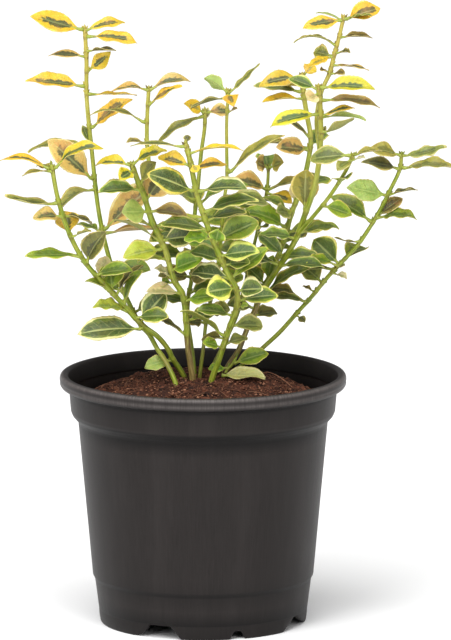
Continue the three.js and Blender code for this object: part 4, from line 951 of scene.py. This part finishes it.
def make_plant():
    pieces, owners, stems, small = [], {}, {}, {}
    for index, (name, shoot) in enumerate(SHOOTS.items()):
        radius, line = shoot["radius"], line_of(shoot)
        owner = owners[name] = owners[shoot["from"]] if "from" in shoot else name
        if owner not in stems:
            stems[owner] = Build(bark="FLOAT_VECTOR", wood="FLOAT", node="FLOAT", gold="FLOAT")
            small[owner] = Build(**LEAF_ATTRIBUTES)
        nodes = []
        for number, (height, *reach, width, lean, arch) in enumerate(shoot["leaves"]):
            label = f"{name}_leaf_{number + 1:02d}"
            point, heading, t = node_at(line, POT_HEIGHT + height)
            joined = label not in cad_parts
            # the blades inside the bush are a little fuller than their CAD solids
            inside = np.clip((140 - height) / 25, 0, 1) * np.clip((height - 18) / 15, 0, 1)
            reach = np.array(reach, float) * (1 + 0.10 * inside)
            out = unit(reach)
            out = unit(out - heading * out.dot(heading))
            seat = 0.3 * radius if joined else radius + CLEARANCE + 0.4 * LEAF_THICKNESS
            build = small[owner] if joined else Build(**LEAF_ATTRIBUTES)
            grow_leaf(build, point + out * 0.5 * radius, point + out * seat, point + reach,
                      width * (1 + 0.22 * inside), lean, arch / 100, shoot["tones"][number],
                      random.Random(label))
            nodes.append((point, heading, out, t))
            if not joined:
                pieces.append((build.object("blade_" + label, LEAF), label, "leaf"))
        grow_stem(stems[owner], name, radius, line, nodes, random.Random(100 + index))
    for owner, build in stems.items():
        pieces.append((build.object("shoot_" + owner, STEM), "stem_" + owner, "stem"))
        pieces.append((small[owner].object("foliage_" + owner, LEAF), "stem_" + owner, "leaf"))
    return pieces


def make_fallen_leaf():
    """The dropped leaf lies where its CAD solid is."""
    low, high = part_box("fallen_leaf")
    build = Build(**LEAF_ATTRIBUTES)
    y, bottom = (low.y + high.y) / 2 / MM, low.z / MM
    start = np.array((low.x / MM, y + 0.9, bottom + 3.6))
    tip = np.array((high.x / MM, y - 0.9, bottom + 3.0))
    grow_leaf(build, start, start + (0.4, 0, 0), tip, 12.5, 32, 0.01, "x", random.Random(5), wave=1.2)
    return build.object("blade_fallen", LEAF)


def attach(piece, node):
    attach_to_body(piece, "root")
    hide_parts(node)


attach(make_pot(), "pot")
attach(make_soil(), "soil")
for piece, node, slot in make_plant():
    attach(piece, node)
attach(make_fallen_leaf(), "fallen_leaf")

# ------------------------------------------------------------------ floor, light and camera
scene = bpy.context.scene
floor_mesh = bpy.data.meshes.new("floor")
floor_mesh.from_pydata([(-9, -9, 0), (9, -9, 0), (9, 9, 0), (-9, 9, 0)], [], [(0, 1, 2, 3)])
floor = bpy.data.objects.new("floor", floor_mesh)
scene.collection.objects.link(floor)
ground = Nodes("floor_white", Specular_IOR_Level=0.1)
cloud = ground.noise(ground.place(), 3.0, 2.0)
floor_mesh.materials.append(ground.finish(ground.mix(cloud, (247, 247, 247), (250, 250, 250)),
                                          ground.math("MULTIPLY_ADD", cloud, 0.05, 0.85)))

world = bpy.data.worlds.new("studio")
world.use_nodes = True
world.node_tree.nodes["Background"].inputs[0].default_value = (1, 1, 1, 1)
world.node_tree.nodes["Background"].inputs[1].default_value = 0.32
scene.world = world


def add_light(name, kind, place, aim, energy, **settings):
    data = bpy.data.lights.new(name, kind)
    data.energy = energy
    for key, value in settings.items():
        setattr(data, key, value)
    light = bpy.data.objects.new(name, data)
    light.location = place
    light.rotation_euler = (Vector(aim) - Vector(place)).to_track_quat("-Z", "Y").to_euler()
    scene.collection.objects.link(light)


add_light("top", "SUN", (-0.5, -1.7, 4), (0, 0, 0), 3.0, angle=math.radians(55))
add_light("left_box", "AREA", (-1.5, -2.4, 1.5), (0, 0, 0.18), 40, shape="RECTANGLE", size=1.3, size_y=1.7)
add_light("right_box", "AREA", (1.3, -2.6, 1.3), (0, 0, 0.18), 28, shape="RECTANGLE", size=1.3, size_y=1.7)

# The view: 10.3 degrees above the pot's middle, from far away.
AIM, DISTANCE, ELEVATION = Vector((0.0133, 0, 0.181)), 5.6, math.radians(10.3)
camera_data = bpy.data.cameras.new("camera")
camera = bpy.data.objects.new("camera", camera_data)
camera.location = AIM + DISTANCE * Vector((0, -math.cos(ELEVATION), math.sin(ELEVATION)))
camera.rotation_euler = (AIM - camera.location).to_track_quat("-Z", "Y").to_euler()
camera_data.sensor_fit = "VERTICAL"
camera_data.sensor_height = 24
camera_data.lens = 24 * DISTANCE / 0.379
camera_data.clip_end = 60
scene.collection.objects.link(camera)
scene.camera = camera
scene.view_settings.view_transform = "Standard"
